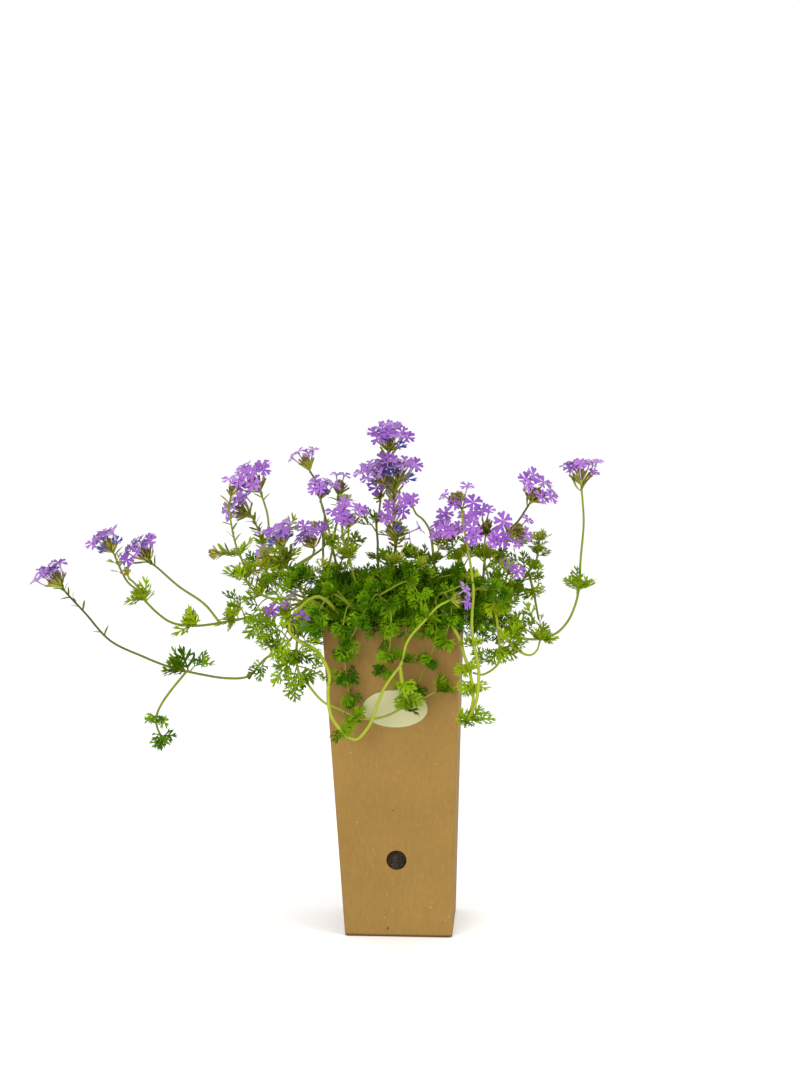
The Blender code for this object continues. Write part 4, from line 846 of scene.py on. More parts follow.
# %% Each head's stage
# Open florets, the least and the most that they lean out in degrees, old florets, closed calyxes,
# and how domed the head is, from 0 for a flat plate
Stage = namedtuple("Stage", "florets inner outer old calyxes dome", defaults=(9, 6, 50, 0, 16, 0.3))
STAGES = {
    "bloom_far_left": Stage(11, outer=48, calyxes=18, dome=0.0),
    "bloom_left_low": Stage(11, outer=52, old=2, calyxes=20, dome=0.1),
    "bloom_left_inner": Stage(10, outer=54, calyxes=20, dome=0.15),
    "bloom_pale": Stage(1, 16, 40, 0, 10),
    "bloom_left_high": Stage(12, outer=66, dome=0.7),
    "bloom_left_leaning": Stage(8, outer=58, calyxes=20, dome=0.5),
    "bloom_back_tall": Stage(0, calyxes=26),
    "bloom_middle_left": Stage(7, 4, 50, 1, 14),
    "bloom_middle_dark": Stage(0, calyxes=28),
    "bloom_middle_front": Stage(8, 10, 64, 0, 16, 0.6),
    "bloom_cluster_left": Stage(8, 8, 62, 2, 24, 0.1),
    "bloom_cluster_right": Stage(5, 14, 60, 0, 24, 0.2),
    "bloom_top": Stage(12, 6, 68, 2, 12, 0.7),
    "bloom_top_left": Stage(8, 6, 56, 2, 12, 0.2),
    "bloom_top_right": Stage(9, 6, 60, 2, 12, 0.1),
    "bloom_centre_left": Stage(0, calyxes=8),
    "bloom_centre_right": Stage(2, 6, 40, 0, 8),
    "bloom_fading": Stage(1, 14, 60, 1, 18),
    "bloom_right_dark": Stage(0, calyxes=30),
    "bloom_right_cluster": Stage(9, 28, 70, 0, 26, 0.5),
    "bloom_right_ring": Stage(10, 50, 74, 0, 30, 0.8),
    "bloom_right_high": Stage(7, 36, 50, 0, 26, 0.1),
    "bloom_right_side": Stage(0, calyxes=28),
    "bloom_far_right": Stage(8, 12, 56, 0, 14, 0.0),
    "bloom_right_small": Stage(3, 10, 50, 0, 8),
    "bloom_front": Stage(0, calyxes=8),
    "bloom_left_small": Stage(0, calyxes=6),
}

# %% Grow the calyxes and the florets of a head
GOLDEN_ANGLE = math.radians(137.508)
LEAF, STEM, CUP = 0, 1, 2
CALYX_LENGTH, CALYX_WIDTH = 11.6, 1.75
CONE = 43
SPIKE = 7.0
TUBE_REACH = 5.6
PETAL_LEVEL, LEVEL_VARIES, LEAST_RISE = 18.0, 2.2, 0.25
MOUTH_AT = 0.9
TO_THE_FRONT, FACING_VARIES = 0.45, 0.5
CLOSED_TILT, CLOSED_TURN, OPEN_TILT, OPEN_TURN = 9, 0.25, 11, 0.5       # how much each one varies
OUT_REACH, OPEN_SPREAD, OLD_SPREAD = (0.5, 0.9), (0.86, 1.12), (0.75, 0.95)
NEW_CALYXES = Stage(0, calyxes=12)


def fan(axis, tilt, turn):
    """The direction that leans `tilt` from an axis, at a turn around it."""
    side = square_to(axis)
    other = np.cross(axis, side)
    outward = side * math.cos(turn) + other * math.sin(turn)
    return unit(axis * math.cos(tilt) + outward * math.sin(tilt))


def calyx_stance(base, axis, share, outward, tilt, turn):
    """Foot and direction of a calyx: the outer ones start lowest on the spike and lean out most."""
    direction = fan(axis, tilt, turn)
    return base + axis * SPIKE * share * (1.15 - outward) + direction * 0.5, direction


def grow_calyxes(skin, base, axis, share, stage, rng):
    """The cone of calyxes: one under each open floret, and closed ones that fill the middle."""
    width = CALYX_WIDTH * (0.5 + 0.5 * share)
    spike = base + np.outer(np.linspace(-0.3, 0.9, 5) * SPIKE * share, axis)
    sweep(skin, spike, np.full(len(spike), TIP_RADIUS), STEM, 0.2, sides=6, age=0.5)
    for foot, direction, length, old in floret_stances(base, axis, share, stage):
        calyx(skin, foot, foot + direction * length, width, CUP, rng)
    for i in range(stage.calyxes):
        outward = math.sqrt((i + 0.5) / stage.calyxes)
        tilt = math.radians(CONE * outward + rng.uniform(-CLOSED_TILT, CLOSED_TILT))
        turn = i * GOLDEN_ANGLE + rng.uniform(-CLOSED_TURN, CLOSED_TURN)
        foot, direction = calyx_stance(base, axis, share, outward, tilt, turn)
        length = CALYX_LENGTH * share * (0.60 + 0.38 * outward) * rng.uniform(0.88, 1.08)
        calyx(skin, foot, foot + direction * length, width, CUP, rng)


def floret_stances(base, axis, share, stage):
    """Foot, direction and length of the calyx under each floret, and whether the floret is old."""
    low, high = math.sin(math.radians(stage.inner)), math.sin(math.radians(stage.outer))
    for i in range(stage.florets):
        tilt = math.asin(math.sqrt(low ** 2 + (high ** 2 - low ** 2) * (i + 0.5) / stage.florets))
        rng = dice("floret", i, *stage)
        turn = i * GOLDEN_ANGLE + rng.uniform(-OPEN_TURN, OPEN_TURN)
        tilt += math.radians(rng.uniform(-OPEN_TILT, OPEN_TILT))
        outward = min(1.0, abs(tilt) / math.radians(CONE))
        foot, direction = calyx_stance(base, axis, share, outward, tilt, turn)
        yield foot, direction, CALYX_LENGTH * share * (0.72 + 0.28 * outward), False
    front = unit(EYE - base)
    across = unit(np.cross(front, axis))
    for i in range(stage.old):
        rng = dice("old floret", i, *stage)
        sideways = (i + 0.5) / stage.old * 2 - 1 + rng.uniform(-0.2, 0.2)
        direction = unit(axis * rng.uniform(0.35, 0.75) + front * 0.75 + across * sideways)
        foot = base + axis * SPIKE * share * 0.3 + direction * 0.5
        yield foot, direction, CALYX_LENGTH * share * 0.85, True


def grow_florets(skin, base, axis, share, stage, rng):
    """The open florets. Their tubes bend up until the petals reach the level of the head's top."""
    reach = TUBE_REACH * share
    for foot, direction, length, old in floret_stances(base, axis, share, stage):
        mouth = foot + direction * length * MOUTH_AT
        sideways = direction - axis * direction.dot(axis)
        if old:
            throat = mouth + direction * reach * 0.5
            spread = PETAL_SPREAD * rng.uniform(*OLD_SPREAD)
            grow_floret(skin, mouth, throat, direction, spread, rng, old=True)
            continue
        outward = np.linalg.norm(sideways) / math.sin(math.radians(stage.outer))
        level = PETAL_LEVEL * share * (1 + 0.3 * stage.dome - 0.7 * stage.dome * outward ** 2)
        varied = level + rng.uniform(-LEVEL_VARIES, LEVEL_VARIES)
        rise = max(varied - (mouth - base).dot(axis), reach * LEAST_RISE)
        throat = mouth + sideways * reach * rng.uniform(*OUT_REACH) + axis * rise
        facing = direction * (0.2 + 0.6 * stage.dome) + axis * (1.0 - 0.4 * stage.dome)
        facing += unit(EYE - throat) * TO_THE_FRONT * stage.dome
        facing += np.array([rng.uniform(-FACING_VARIES, FACING_VARIES) for _ in range(3)])
        spread = PETAL_SPREAD * (0.7 + 0.3 * share) * rng.uniform(*OPEN_SPREAD)
        grow_floret(skin, mouth, throat, facing, spread, rng)


# %% Florets that stand apart
# Where each is seen, how much it faces outwards, and its share of the full size
SINGLES = {
    "bloom_left_low": [(-208.7, -6, 276.8, 0.3, 0.9)],
    "bloom_back_tall": [
        (-82.6, 32, 355.1, 3, 0.8), (-78.1, 36, 359.6, 1.5, 0.8), (-70, 30, 358.6, 2, 0.8),
        (-66.4, 34, 361.6, 2.5, 0.8),
    ],
    "bloom_middle_dark": [(-43, 19, 342.4, 2, 0.85), (-49, 23, 343.2, 1.5, 0.8)],
    "bloom_cluster_left": [(-106.5, -40, 284.2, 0.6, 0.85), (-100.5, -38, 286.5, 1, 0.7)],
    "bloom_top_left": [(-13.2, 2, 353.6, 0.5, 1), (-14, -5, 346.9, 0.3, 0.9)],
    "bloom_top_right": [(-8, -4, 352.1, 0.6, 1)],
    "bloom_centre_left": [
        (-18.4, 10, 332.7, 0.4, 1), (-10.2, 8, 334.2, 0.4, 1), (-14.7, 8, 340.2, 1.5, 0.8),
    ],
    "bloom_fading": [
        (-9.5, -6, 319.3, 0.6, 0.85), (1, -10, 314.8, 1, 0.85), (-0.5, 2, 337.9, 0.8, 0.8),
        (13.7, -8, 302.9, 3, 0.8), (6.2, -6, 294.7, 4, 0.7),
    ],
    "bloom_right_dark": [
        (31.6, -30, 327.5, 1.4, 0.75), (49.2, -26, 334.6, 0.5, 0.8), (53.6, -38, 322.3, 0.1, 1.1),
        (39.8, -36, 321.5, 0.6, 0.9),
    ],
    "bloom_right_side": [
        (93.5, -16, 298.4, 0.6, 0.9), (94.2, -13, 309.6, 0.8, 0.9), (86.8, -17, 292.4, 0.8, 0.8),
    ],
    "bloom_far_right": [
        (143.5, -2, 345.4, 0.8, 0.75), (125.6, -5, 348.6, 0.4, 0.85), (132.4, -8, 351.2, 0.2, 0.9),
    ],
    "bloom_front": [(48, -78, 256.6, 3, 0.9), (49.5, -80, 246.9, 3, 0.9)],
    "bloom_left_small": [
        (-98.2, -66, 239.5, 0.2, 0.95), (-76.6, -58, 233.5, 0.1, 1), (-83.3, -50, 251.4, 3, 0.85),
        (-87.8, -62, 243.2, 2, 0.6),
    ],
    "bloom_cluster_right": [
        (-66.9, -34, 299.2, 0.5, 0.95), (-73.6, -36, 303.6, 0.9, 0.95), (-60.9, -30, 302.9, 1.5, 0.85),
    ],
}
CALYX_PART = 0.55       # how much of a single floret's length its calyx covers


def single_stances(name, lines):
    """Foot on the nearest stem, throat, facing and spread of each floret that stands apart."""
    for spot in SINGLES.get(name, ()):
        throat = seen(spot[:3])
        foot = nearest(np.concatenate(lines), throat)
        outward = unit(throat - foot)
        facing = outward * spot[3] + unit(EYE - throat) * 0.5 + np.array((0, 0, 0.3))
        yield foot, throat, facing, PETAL_SPREAD * spot[4]


# %% [markdown]
# ## Leafy stems
# Leaves sit in opposite pairs, and each joint also bears a tuft of smaller ones. Between joints a
# stem may be clothed with small bracts or calyxes, and short twigs fill the thick places. Leaves
# could be scattered on the stem with a modifier, but growing them from its own curve keeps each
# one attached, at a known joint and on the right side.

# %% Grow a leafy stem
STEM_RADIUS, TIP_RADIUS, SIDE_SHARE = 0.95, 0.7, 0.95
TAPER = 2.0
JOINT_SWELL, SWELL_REACH = 0.22, 1.6
JOINT_TURN = 35
LAST_PLACE = 1.02       # a joint stays this far short of its stem's end
LEAF_LENGTH, LEAF_VARIES, LEAF_LEAN = 19.0, (0.86, 1.08), (38, 68)
LEAF_SPREAD, PAIR_STEP = math.radians(75), 2.6
TUFT_LEAVES, TUFT_LENGTH, TUFT_LEAN, TUFT_OF_SIZE = 6, (8.0, 13.0), (15, 60), 13.0
LIFT = 0.7
OLIVE_ABOVE, OLIVE_OVER = 262.0, 70.0
OLIVE, YOUNG, SHADED = 0.6, -0.8, 0.0
GIRTH = {"stem_front_loop": 1.45, "stem_right_trailing": 1.4, "stem_front_low": 1.15,
         "stem_right_low": 1.15}
BROWNED = {
    ("stem_far_left", 0): 1.2, ("stem_far_left", 1): 0.6, ("stem_left_low", 1): 0.7,
    ("stem_back_tall", 0): 0.9, ("stem_right_high", 0): 0.9, ("stem_right_high", 1): 0.7,
    ("stem_middle_pair", 1): 0.8, ("stem_front_loop", 0): 0.0, ("stem_right_trailing", 0): 0.1,
    ("stem_far_right", 0): 0.15,
}
SLIGHTLY_BROWNED = 0.35

# The length and age of a stem's leaves, or of one route's leaves, where they are not the usual ones
LEAVES_OF = {
    ("stem_far_left", 0): (21.0, -0.15), ("stem_far_left", 1): (12.5, SHADED),
    ("stem_far_right", 0): (15.0, YOUNG), "stem_left_leaning": (8.5, YOUNG),
    "stem_centre_left": (14.0, -0.4), "stem_middle_pair": (10.0, -0.3),
    "stem_right_cluster": (12.0, -0.6), "stem_right_ring": (12.0, -0.6),
    "stem_centre_right": (12.0, -0.5), "stem_right_high": (13.0, -0.7),
    "stem_right_leafy": (12.0, YOUNG), "stem_right_low": (16.0, -0.7),
    ("stem_middle_front", 0): (14.0, YOUNG), ("stem_middle_front", 1): (7.5, 0.4),
    "stem_right_trailing": (15.0, YOUNG), "stem_front_low": (16.0, -0.3),
    "stem_front_loop": (15.0, -0.3),
}


# %% Leaves on a stem
def place_leaf(skin, here, along, turn, lean, length, shapes, rng, age=YOUNG, look=0.6):
    """A leaf that leans from its stem at a turn round it, its upper side to the sky and the front."""
    view = unit(EYE - here)
    side = unit(np.cross(along, view))
    out = side * math.cos(turn) + np.cross(side, along) * math.sin(turn)
    lift = np.array((0, 0, LIFT * (1 - abs(along[2]))))
    ahead = along * math.cos(lean) + out * math.sin(lean) + lift
    tilt = 0.9 - look
    sway = np.array([rng.uniform(-tilt, tilt), rng.uniform(-tilt, tilt), 0.7])
    facing = along * 0.5 + view * look + sway
    old = rng.random() < (here[2] - OLIVE_ABOVE) / OLIVE_OVER
    grow_leaf(skin, here, ahead, facing, length, rng.choice(shapes), LEAF, rng, OLIVE if old else age)


def joint_place(points, order, place):
    """Where a joint is on the whole curve. A main stem's first points are its root and crown."""
    return min(place + (ROOT_POINTS if order == 0 else 0), len(points) - LAST_PLACE)


def grow_joints(skin, node, order, route, points, size, age):
    """The pairs of leaves and the tuft at each joint of a route."""
    for place, count in route.leaves:
        at = joint_place(points, order, place)
        here, along = curve_at(points, at), tangent_at(points, at)
        start = math.radians(dice(node, order, place).uniform(-JOINT_TURN, JOINT_TURN))
        for i in range(count):
            pair, which = divmod(i, 2)
            rng = dice(node, order, place, i)
            lean = math.radians(rng.uniform(*LEAF_LEAN))
            length = size * rng.uniform(*LEAF_VARIES)
            turn = start + math.pi * which + LEAF_SPREAD * pair
            foot = here - along * PAIR_STEP * pair
            place_leaf(skin, foot, along, turn, lean, length, CUT_LEAVES, rng, age)
        rng = dice(node, order, place, "tuft")
        for i in range(TUFT_LEAVES):
            lean = math.radians(rng.uniform(*TUFT_LEAN))
            length = rng.uniform(*TUFT_LENGTH) * min(size / TUFT_OF_SIZE, 1.0)
            place_leaf(skin, here, along, start + i * GOLDEN_ANGLE, lean, length, CUT_LEAVES, rng, age)


def leaf_pair(skin, line, i, turn, leans, lengths, rng, age, look=0.6, share=1.0):
    """Two leaves on opposite sides of a shoot, at a corner of its line."""
    along = unit(line[i] - line[i - 1])
    for which in range(2):
        lean = math.radians(rng.uniform(*leans))
        length = rng.uniform(*lengths) * share
        place_leaf(skin, line[i], along, turn + which * math.pi, lean, length, CUT_LEAVES, rng, age, look)


# %% Stretches of a stem that are clothed
# By route: the first and the last place, how many grow there, and what
CLOTHED = {
    ("stem_far_left", 0): [(9.2, 9.4, 2, "bract"), (10.1, 11.9, 11, "bract")],
    ("stem_left_low", 0): [(9.6, 10.8, 6, "upper leaf"), (10.9, 11.5, 3, "bract")],
    ("stem_left_low", 1): [(3.2, 3.9, 4, "bract")],
    ("stem_left_upright", 0): [(4.6, 6.6, 10, "bract")],
    ("stem_left_upright", 1): [(1.0, 2.0, 8, "bract")],
    ("stem_left_leaning", 0): [(1.4, 4.9, 34, "bract")],
    ("stem_left_high", 0): [(4.4, 4.9, 3, "bract")],
    ("stem_left_cluster", 0): [(0.3, 2.6, 34, "bract")],
    ("stem_middle_pair", 1): [(3.2, 3.9, 6, "bract")],
    ("stem_middle_front", 1): [(1.4, 3.0, 14, "bract")],
    ("stem_centre", 0): [(3.0, 5.9, 44, "calyx"), (7.1, 7.9, 8, "calyx")],
    ("stem_centre", 3): [(0.6, 1.9, 14, "calyx")],
    ("stem_right_high", 0): [(5.6, 5.9, 2, "calyx")],
    ("stem_right_high", 1): [(2.2, 2.9, 10, "calyx")],
    ("stem_far_right", 0): [(11.6, 11.7, 2, "calyx")],
    ("stem_right_leafy", 0): [(4.2, 5.0, 8, "upper leaf")],
}

# %% Clothe a stretch
BRACT_LENGTH, BRACT_AGE, UPPER_LENGTH, CLOTHED_LEAN = (7.5, 11.0), 0.2, (9.0, 13.0), (34, 60)


def clothe(skin, points, offset, first, last, count, kind, rng):
    """Bracts, upper leaves or calyxes in a close spiral on a stretch of stem."""
    for i in range(count):
        at = first + (last - first) * i / count + offset
        here, along = curve_at(points, at), tangent_at(points, at)
        turn = i * GOLDEN_ANGLE
        lean = math.radians(rng.uniform(*CLOTHED_LEAN))
        if kind == "calyx":
            direction = fan(along, lean * 0.75, turn)
            tip = here + direction * CALYX_LENGTH * rng.uniform(0.85, 1.1)
            calyx(skin, here, tip, CALYX_WIDTH, CUP, rng)
        elif kind == "bract":
            place_leaf(skin, here, along, turn, lean, rng.uniform(*BRACT_LENGTH), BRACTS, rng, BRACT_AGE)
        else:
            place_leaf(skin, here, along, turn, lean, rng.uniform(*UPPER_LENGTH), UPPER_LEAVES, rng)


# %% Side shoots that fill the clusters
# Each is given by where it starts near its stem, where it ends, and how old its leaves are
TWIGS = {
    "stem_left_upright": [
        ((-104.2, -37, 251.4), (-119.1, -42, 261.9), -0.4),
        ((-107.2, -37, 257.4), (-107.2, -40, 270.8), 0.9),
        ((-102.7, -38, 246.9), (-111.7, -44, 237.2), -0.3),
    ],
    "stem_left_small": [
        ((-93, -54, 244), (-104.2, -60, 230.5), -0.5), ((-88.6, -52, 246.9), (-97.5, -56, 258.1), -0.2),
        ((-79.6, -50, 246.9), (-88.6, -46, 260.4), 0.2),
    ],
    "stem_front_loop": [
        ((-84.8, -57, 235), (-99, -62, 221.6), -0.5), ((-83.3, -60, 227.5), (-91.5, -66, 211.1), -0.5),
        ((-75.9, -64, 220.1), (-67.7, -68, 208.9), -0.4),
    ],
    "stem_front_low": [
        ((-77.4, -56, 204.4), (-98.2, -60, 210.4), -0.5), ((-76.6, -56, 201.4), (-90.8, -60, 192.5), -0.5),
        ((-76.6, -57, 197.7), (-82.6, -62, 182.8), -0.5), ((-75.9, -55, 206.7), (-66.2, -60, 220.8), -0.4),
        ((-72.9, -58, 197.7), (-58.7, -64, 188.7), -0.5), ((-76.6, -54, 210.4), (-78.9, -58, 226), -0.3),
    ],
    "stem_far_left": [
        ((-99.7, -22, 208.9), (-105, -26, 221.6), -0.3), ((-87.1, -22, 217.8), (-96, -26, 226), -0.3),
        ((-104.2, -20, 205.9), (-107.2, -24, 194.7), -0.2), ((-161, -15, 191), (-154, -18, 197), -0.2),
    ],
    "stem_left_low": [
        ((-104.2, 8, 241), (-110.2, 4, 229), -0.4), ((-118.4, 8, 238), (-125.9, 4, 246.2), -0.2),
        ((-89.3, 10, 246.2), (-99.7, 6, 255.9), -0.3),
    ],
    "stem_left_cluster": [
        ((-81.8, -36, 258.9), (-96.8, -42, 270.8), 0.2), ((-83.3, -38, 269.3), (-99.7, -44, 279.8), 0.3),
        ((-74.4, -34, 260.4), (-62.4, -38, 270.8), 0), ((-84.8, -38, 266.3), (-90, -44, 279.8), 0.4),
    ],
    "stem_left_leaning": [((-101.2, 20, 268), (-110.2, 18, 273), 0)],
    "stem_left_high": [
        ((-96.8, -4, 292.4), (-86.3, -8, 299.2), 0.2), ((-90.8, -6, 273.8), (-99.7, -10, 263.3), -0.2),
    ],
    "stem_back_tall": [
        ((-52.7, 30, 292.4), (-62.4, 26, 300.6), 0.3), ((-49, 30, 281.3), (-38.6, 26, 290.2), 0.2),
    ],
    "stem_middle_front": [((-38.6, -28, 284.2), (-49.8, -32, 291.7), 0)],
    "stem_centre_left": [((-18.4, 20, 299.9), (-25.9, 16, 308.1), 0.4)],
    "stem_centre": [((-8.7, 6, 270.1), (0.2, 0, 279.8), 0.1)],
    "stem_centre_right": [
        ((21.1, -12, 270.1), (12.9, -16, 281.3), 0.1), ((21.9, -14, 279.8), (31.6, -18, 289.5), 0.3),
    ],
    "stem_right_cluster": [
        ((42.7, -14, 281.3), (33.8, -18, 289.5), 0.3), ((44.2, -12, 272.3), (53.9, -16, 281.3), 0),
    ],
    "stem_right_ring": [
        ((61.4, -27, 277.5), (52.4, -30, 284.2), 0.2), ((62.1, -24, 262.6), (73.3, -28, 271.6), -0.3),
    ],
    "stem_right_trailing": [((49.5, -68, 155), (58.5, -69, 157), -0.4)],
    "stem_right_high": [
        ((62.9, 0, 270.1), (71.8, -4, 281.3), 0.1), ((73.3, 5, 287.2), (82.3, 2, 292.4), 0.4),
    ],
    "stem_right_leafy": [
        ((86, 18, 252.9), (77.1, 14, 263.3), -0.5), ((89.7, 20, 260.4), (98, 14, 264), -0.5),
        ((77.1, 18, 242.5), (86, 14, 230.5), -0.5), ((67.4, 17, 242.5), (56.2, 12, 251.4), -0.4),
        ((94.2, 20, 263.3), (87.5, 16, 276.8), -0.3),
    ],
    "stem_far_right": [
        ((106.9, -10, 224.6), (98.7, -14, 235), -0.5), ((101.7, -14, 221.6), (91.2, -18, 228.3), -0.5),
        ((88.3, -18, 224.6), (80.8, -22, 235), -0.4), ((123.3, -4, 251.4), (131.5, -8, 262.6), -0.4),
    ],
    "stem_right_low": [
        ((71.1, -46, 210.4), (82.3, -50, 219.3), -0.5), ((65.9, -44, 236.5), (76.3, -48, 244), -0.5),
        ((73.3, -46, 197.7), (62.1, -50, 203.7), -0.4),
    ],
}

# %% Grow the twigs, and a whole stem
TWIG_RADII, TWIG_LEAF, TWIG_ARCH, TWIG_TONE = (0.6, 0.4), (10.5, 16.0), (0.5, 2.5), (0.1, 0.5)
TWIG_LEANS = {0.6: (40, 65), 1.0: (15, 35)}        # by place on the twig
BARE_JOINTS = {"stem_far_left": (-116, -18, 189)}
STUB_RADII = (0.9, 1.8, 2.1, 1.6, 1.0, 0.5)
STUB_TOP, STUB_LENGTH, STUB_BROWN = 1.5, 5.0, 3.0
WIRY = (0.05, 0.45)       # how bright a thin stem is


def grow_stub(skin, joint):
    """The brown swelling at a joint that lost its leaves."""
    falls = [STUB_TOP - STUB_LENGTH * i / len(STUB_RADII) for i in range(len(STUB_RADII))]
    line = np.array([joint + np.array((0.0, 0.0, fall)) for fall in falls])
    sweep(skin, line, STUB_RADII, STEM, 0.0, age=STUB_BROWN)


def grow_twig(skin, lines, twig, names):
    """A short side shoot with pairs of small leaves."""
    start, end, age = twig
    rng = dice(*names)
    root, tip = nearest(np.concatenate(lines), seen(start)), seen(end)
    middle = (root + tip) / 2 + np.array((0, 0, rng.uniform(*TWIG_ARCH)))
    line = fine_line([root, middle, tip], 1.5)
    radii = np.linspace(*TWIG_RADII, len(line))
    sweep(skin, line, radii, STEM, rng.uniform(*TWIG_TONE), sides=5, age=max(age, 0.0))
    turn = rng.uniform(0, math.tau)
    for share, leans in TWIG_LEANS.items():
        turn += math.pi / 2
        i = max(1, round(share * (len(line) - 1)))
        leaf_pair(skin, line, i, turn, leans, TWIG_LEAF, rng, age)


def grow_stem(skin, node, order, route, points, lines):
    """One route: its rod, the leaves at its joints and the calyxes of its head."""
    line = fine_line(points)
    thick = GIRTH.get(node, 1.0) * (1.0 if order == 0 else SIDE_SHARE)
    taper = np.linspace(0.0, 1.0, len(line)) ** TAPER
    radii = STEM_RADIUS * thick * (1 - taper) + TIP_RADIUS * taper
    for place, _ in route.leaves:
        joint = curve_at(points, joint_place(points, order, place))
        near = np.exp(-(np.linalg.norm(line - joint, axis=1) / SWELL_REACH) ** 2)
        radii *= 1.0 + JOINT_SWELL * near
    bright = 1.0 if node in GIRTH else dice(node, order).uniform(*WIRY)
    sweep(skin, line, radii, STEM, bright, age=BROWNED.get((node, order), SLIGHTLY_BROWNED))
    size, age = LEAVES_OF.get((node, order), LEAVES_OF.get(node, (LEAF_LENGTH, YOUNG)))
    grow_joints(skin, node, order, route, points, size, age)
    offset = ROOT_POINTS if order == 0 else 0
    for i, stretch in enumerate(CLOTHED.get((node, order), [])):
        clothe(skin, points, offset, *stretch, dice(node, order, "clothed", i))
    if route.head:
        axis = unit(np.array(route.head.facing))
        stage = STAGES.get(route.head.name, NEW_CALYXES)
        for foot, throat, _, _ in single_stances(route.head.name, lines):
            calyx(skin, foot, foot + (throat - foot) * CALYX_PART, CALYX_WIDTH, CUP, dice(*foot))
        grow_calyxes(skin, points[-1], axis, route.head.share, stage, dice(node, order, "calyxes"))


print("twigs:", sum(len(twigs) for twigs in TWIGS.values()))

# %% [markdown]
# ## Foliage finishes
# The leaves are dull green: yellow-green where they are young, dark in the shade of the mound and
# olive high up near the heads. Their tips are a little paler, a painted highlight where they catch
# the light. Stems are yellow-green, and brown towards a head. Calyxes are olive with purple-brown
# teeth. A picture of a leaf could give all this, but it would slide and stretch on the bent fingers.
# So the colours come from the numbers kept on the corners, mixed with a fine noise.

# %% Leaf, stem and calyx finishes
leaf_finish = Finish("verbena_leaf", 0.55, Specular_IOR_Level=0.02)
leaf_tone = leaf_finish.kept("tone")
leaf_mottle = leaf_finish.noise(220.0, 4.0)
leaf_light = leaf_tone + (leaf_mottle - 0.5) * 0.5
deep_to_mid = leaf_finish.blend(leaf_light, (0.015, 0.062, 0.0005), (0.073, 0.178, 0.0012))
# Paler towards the fingers' tips: a painted highlight where the tips catch the light
tip_highlight_share = (leaf_tone * leaf_tone * leaf_finish.kept("along")) * 0.6
leaf_green = leaf_finish.blend(tip_highlight_share, deep_to_mid, (0.26, 0.36, 0.008))
leaf_age = leaf_finish.kept("age")
young = (0 - leaf_age).maths("MAXIMUM", 0.0) * (0.55 + 0.45 * leaf_tone)
young_green = leaf_finish.blend(young, leaf_green, (0.235, 0.325, 0.005))
old = leaf_age.maths("MAXIMUM", 0.0)
leaf_finish.feed("Base Color", leaf_finish.blend(old, young_green, (0.305, 0.300, 0.022)))
leaf_finish.bump(leaf_finish.noise(900.0, 3.0), 0.0003, 0.5)

stem_finish = Finish("verbena_stem", 0.5, Specular_IOR_Level=0.12)
stem_streaks = stem_finish.noise(400.0, 3.0, 0.6, stem_finish.stretched((1.0, 1.0, 0.12)))
stem_light = stem_streaks * 0.5 + stem_finish.kept("tone") * 0.5
stem_green = stem_finish.blend(stem_light, (0.085, 0.13, 0.004), (0.310, 0.350, 0.026))
stem_brown = (stem_finish.kept("along") ** 1.6) * stem_finish.kept("age")
stem_finish.feed("Base Color", stem_finish.blend(stem_brown, stem_green, (0.060, 0.058, 0.008)))
stem_finish.bump(stem_streaks, 0.0003, 0.4)

cup_finish = Finish("verbena_calyx", 0.55, Specular_IOR_Level=0.12)
cup_along = cup_finish.kept("along")
cup_green = cup_finish.blend(cup_finish.kept("tone"), (0.105, 0.112, 0.008), (0.44, 0.44, 0.05))
cup_finish.feed("Base Color", cup_finish.blend((cup_along ** 2.5) * 0.8, cup_green, (0.12, 0.055, 0.040)))
cup_finish.bump(cup_finish.noise(1400.0, 2.0), 0.0002, 0.5)
GREENS = [leaf_finish, stem_finish, cup_finish]

# %% [markdown]
# ## Petal finishes
# Petals are a soft violet, lighter or darker from one to the next; the dark ring round the throat is
# painted shade. The faded ones are indigo. Real petals have a bloom like fine velvet, so the finish
# has some sheen; a glossy coat would make them look like wax. Tubes are pale and dusky.

# %% Petal and tube finishes
petal_finish = Finish("verbena_petal", 0.55, Specular_IOR_Level=0.25, Sheen_Weight=0.3)
petal_along = petal_finish.kept("along")
petal_tone = petal_finish.kept("tone") * 0.7 + petal_finish.noise(260.0, 3.0) * 0.3
violet = petal_finish.blend(petal_tone, (0.122, 0.020, 0.262), (0.350, 0.128, 0.490))
# Darker round the throat: painted shade for the shadow in the tube's mouth
throat_shade = 1.0 - petal_along.above(0.24, 0.10)
violet_with_throat_shade = petal_finish.blend(throat_shade * 0.55, violet, (0.11, 0.02, 0.22))
faded = petal_finish.kept("age")
petal_finish.feed("Base Color", petal_finish.blend(faded, violet_with_throat_shade, (0.038, 0.034, 0.25)))
petal_finish.bump(petal_finish.noise(1200.0, 2.0), 0.0002, 0.4)

tube_finish = Finish("verbena_tube", 0.5)
tube_along = tube_finish.kept("along")
tube_finish.feed("Base Color", tube_finish.blend(tube_along, (0.36, 0.26, 0.30), (0.30, 0.12, 0.44)))
tube_finish.bump(tube_finish.noise(900.0, 2.0), 0.0002, 0.3)
PETAL_FINISHES = [petal_finish, tube_finish]

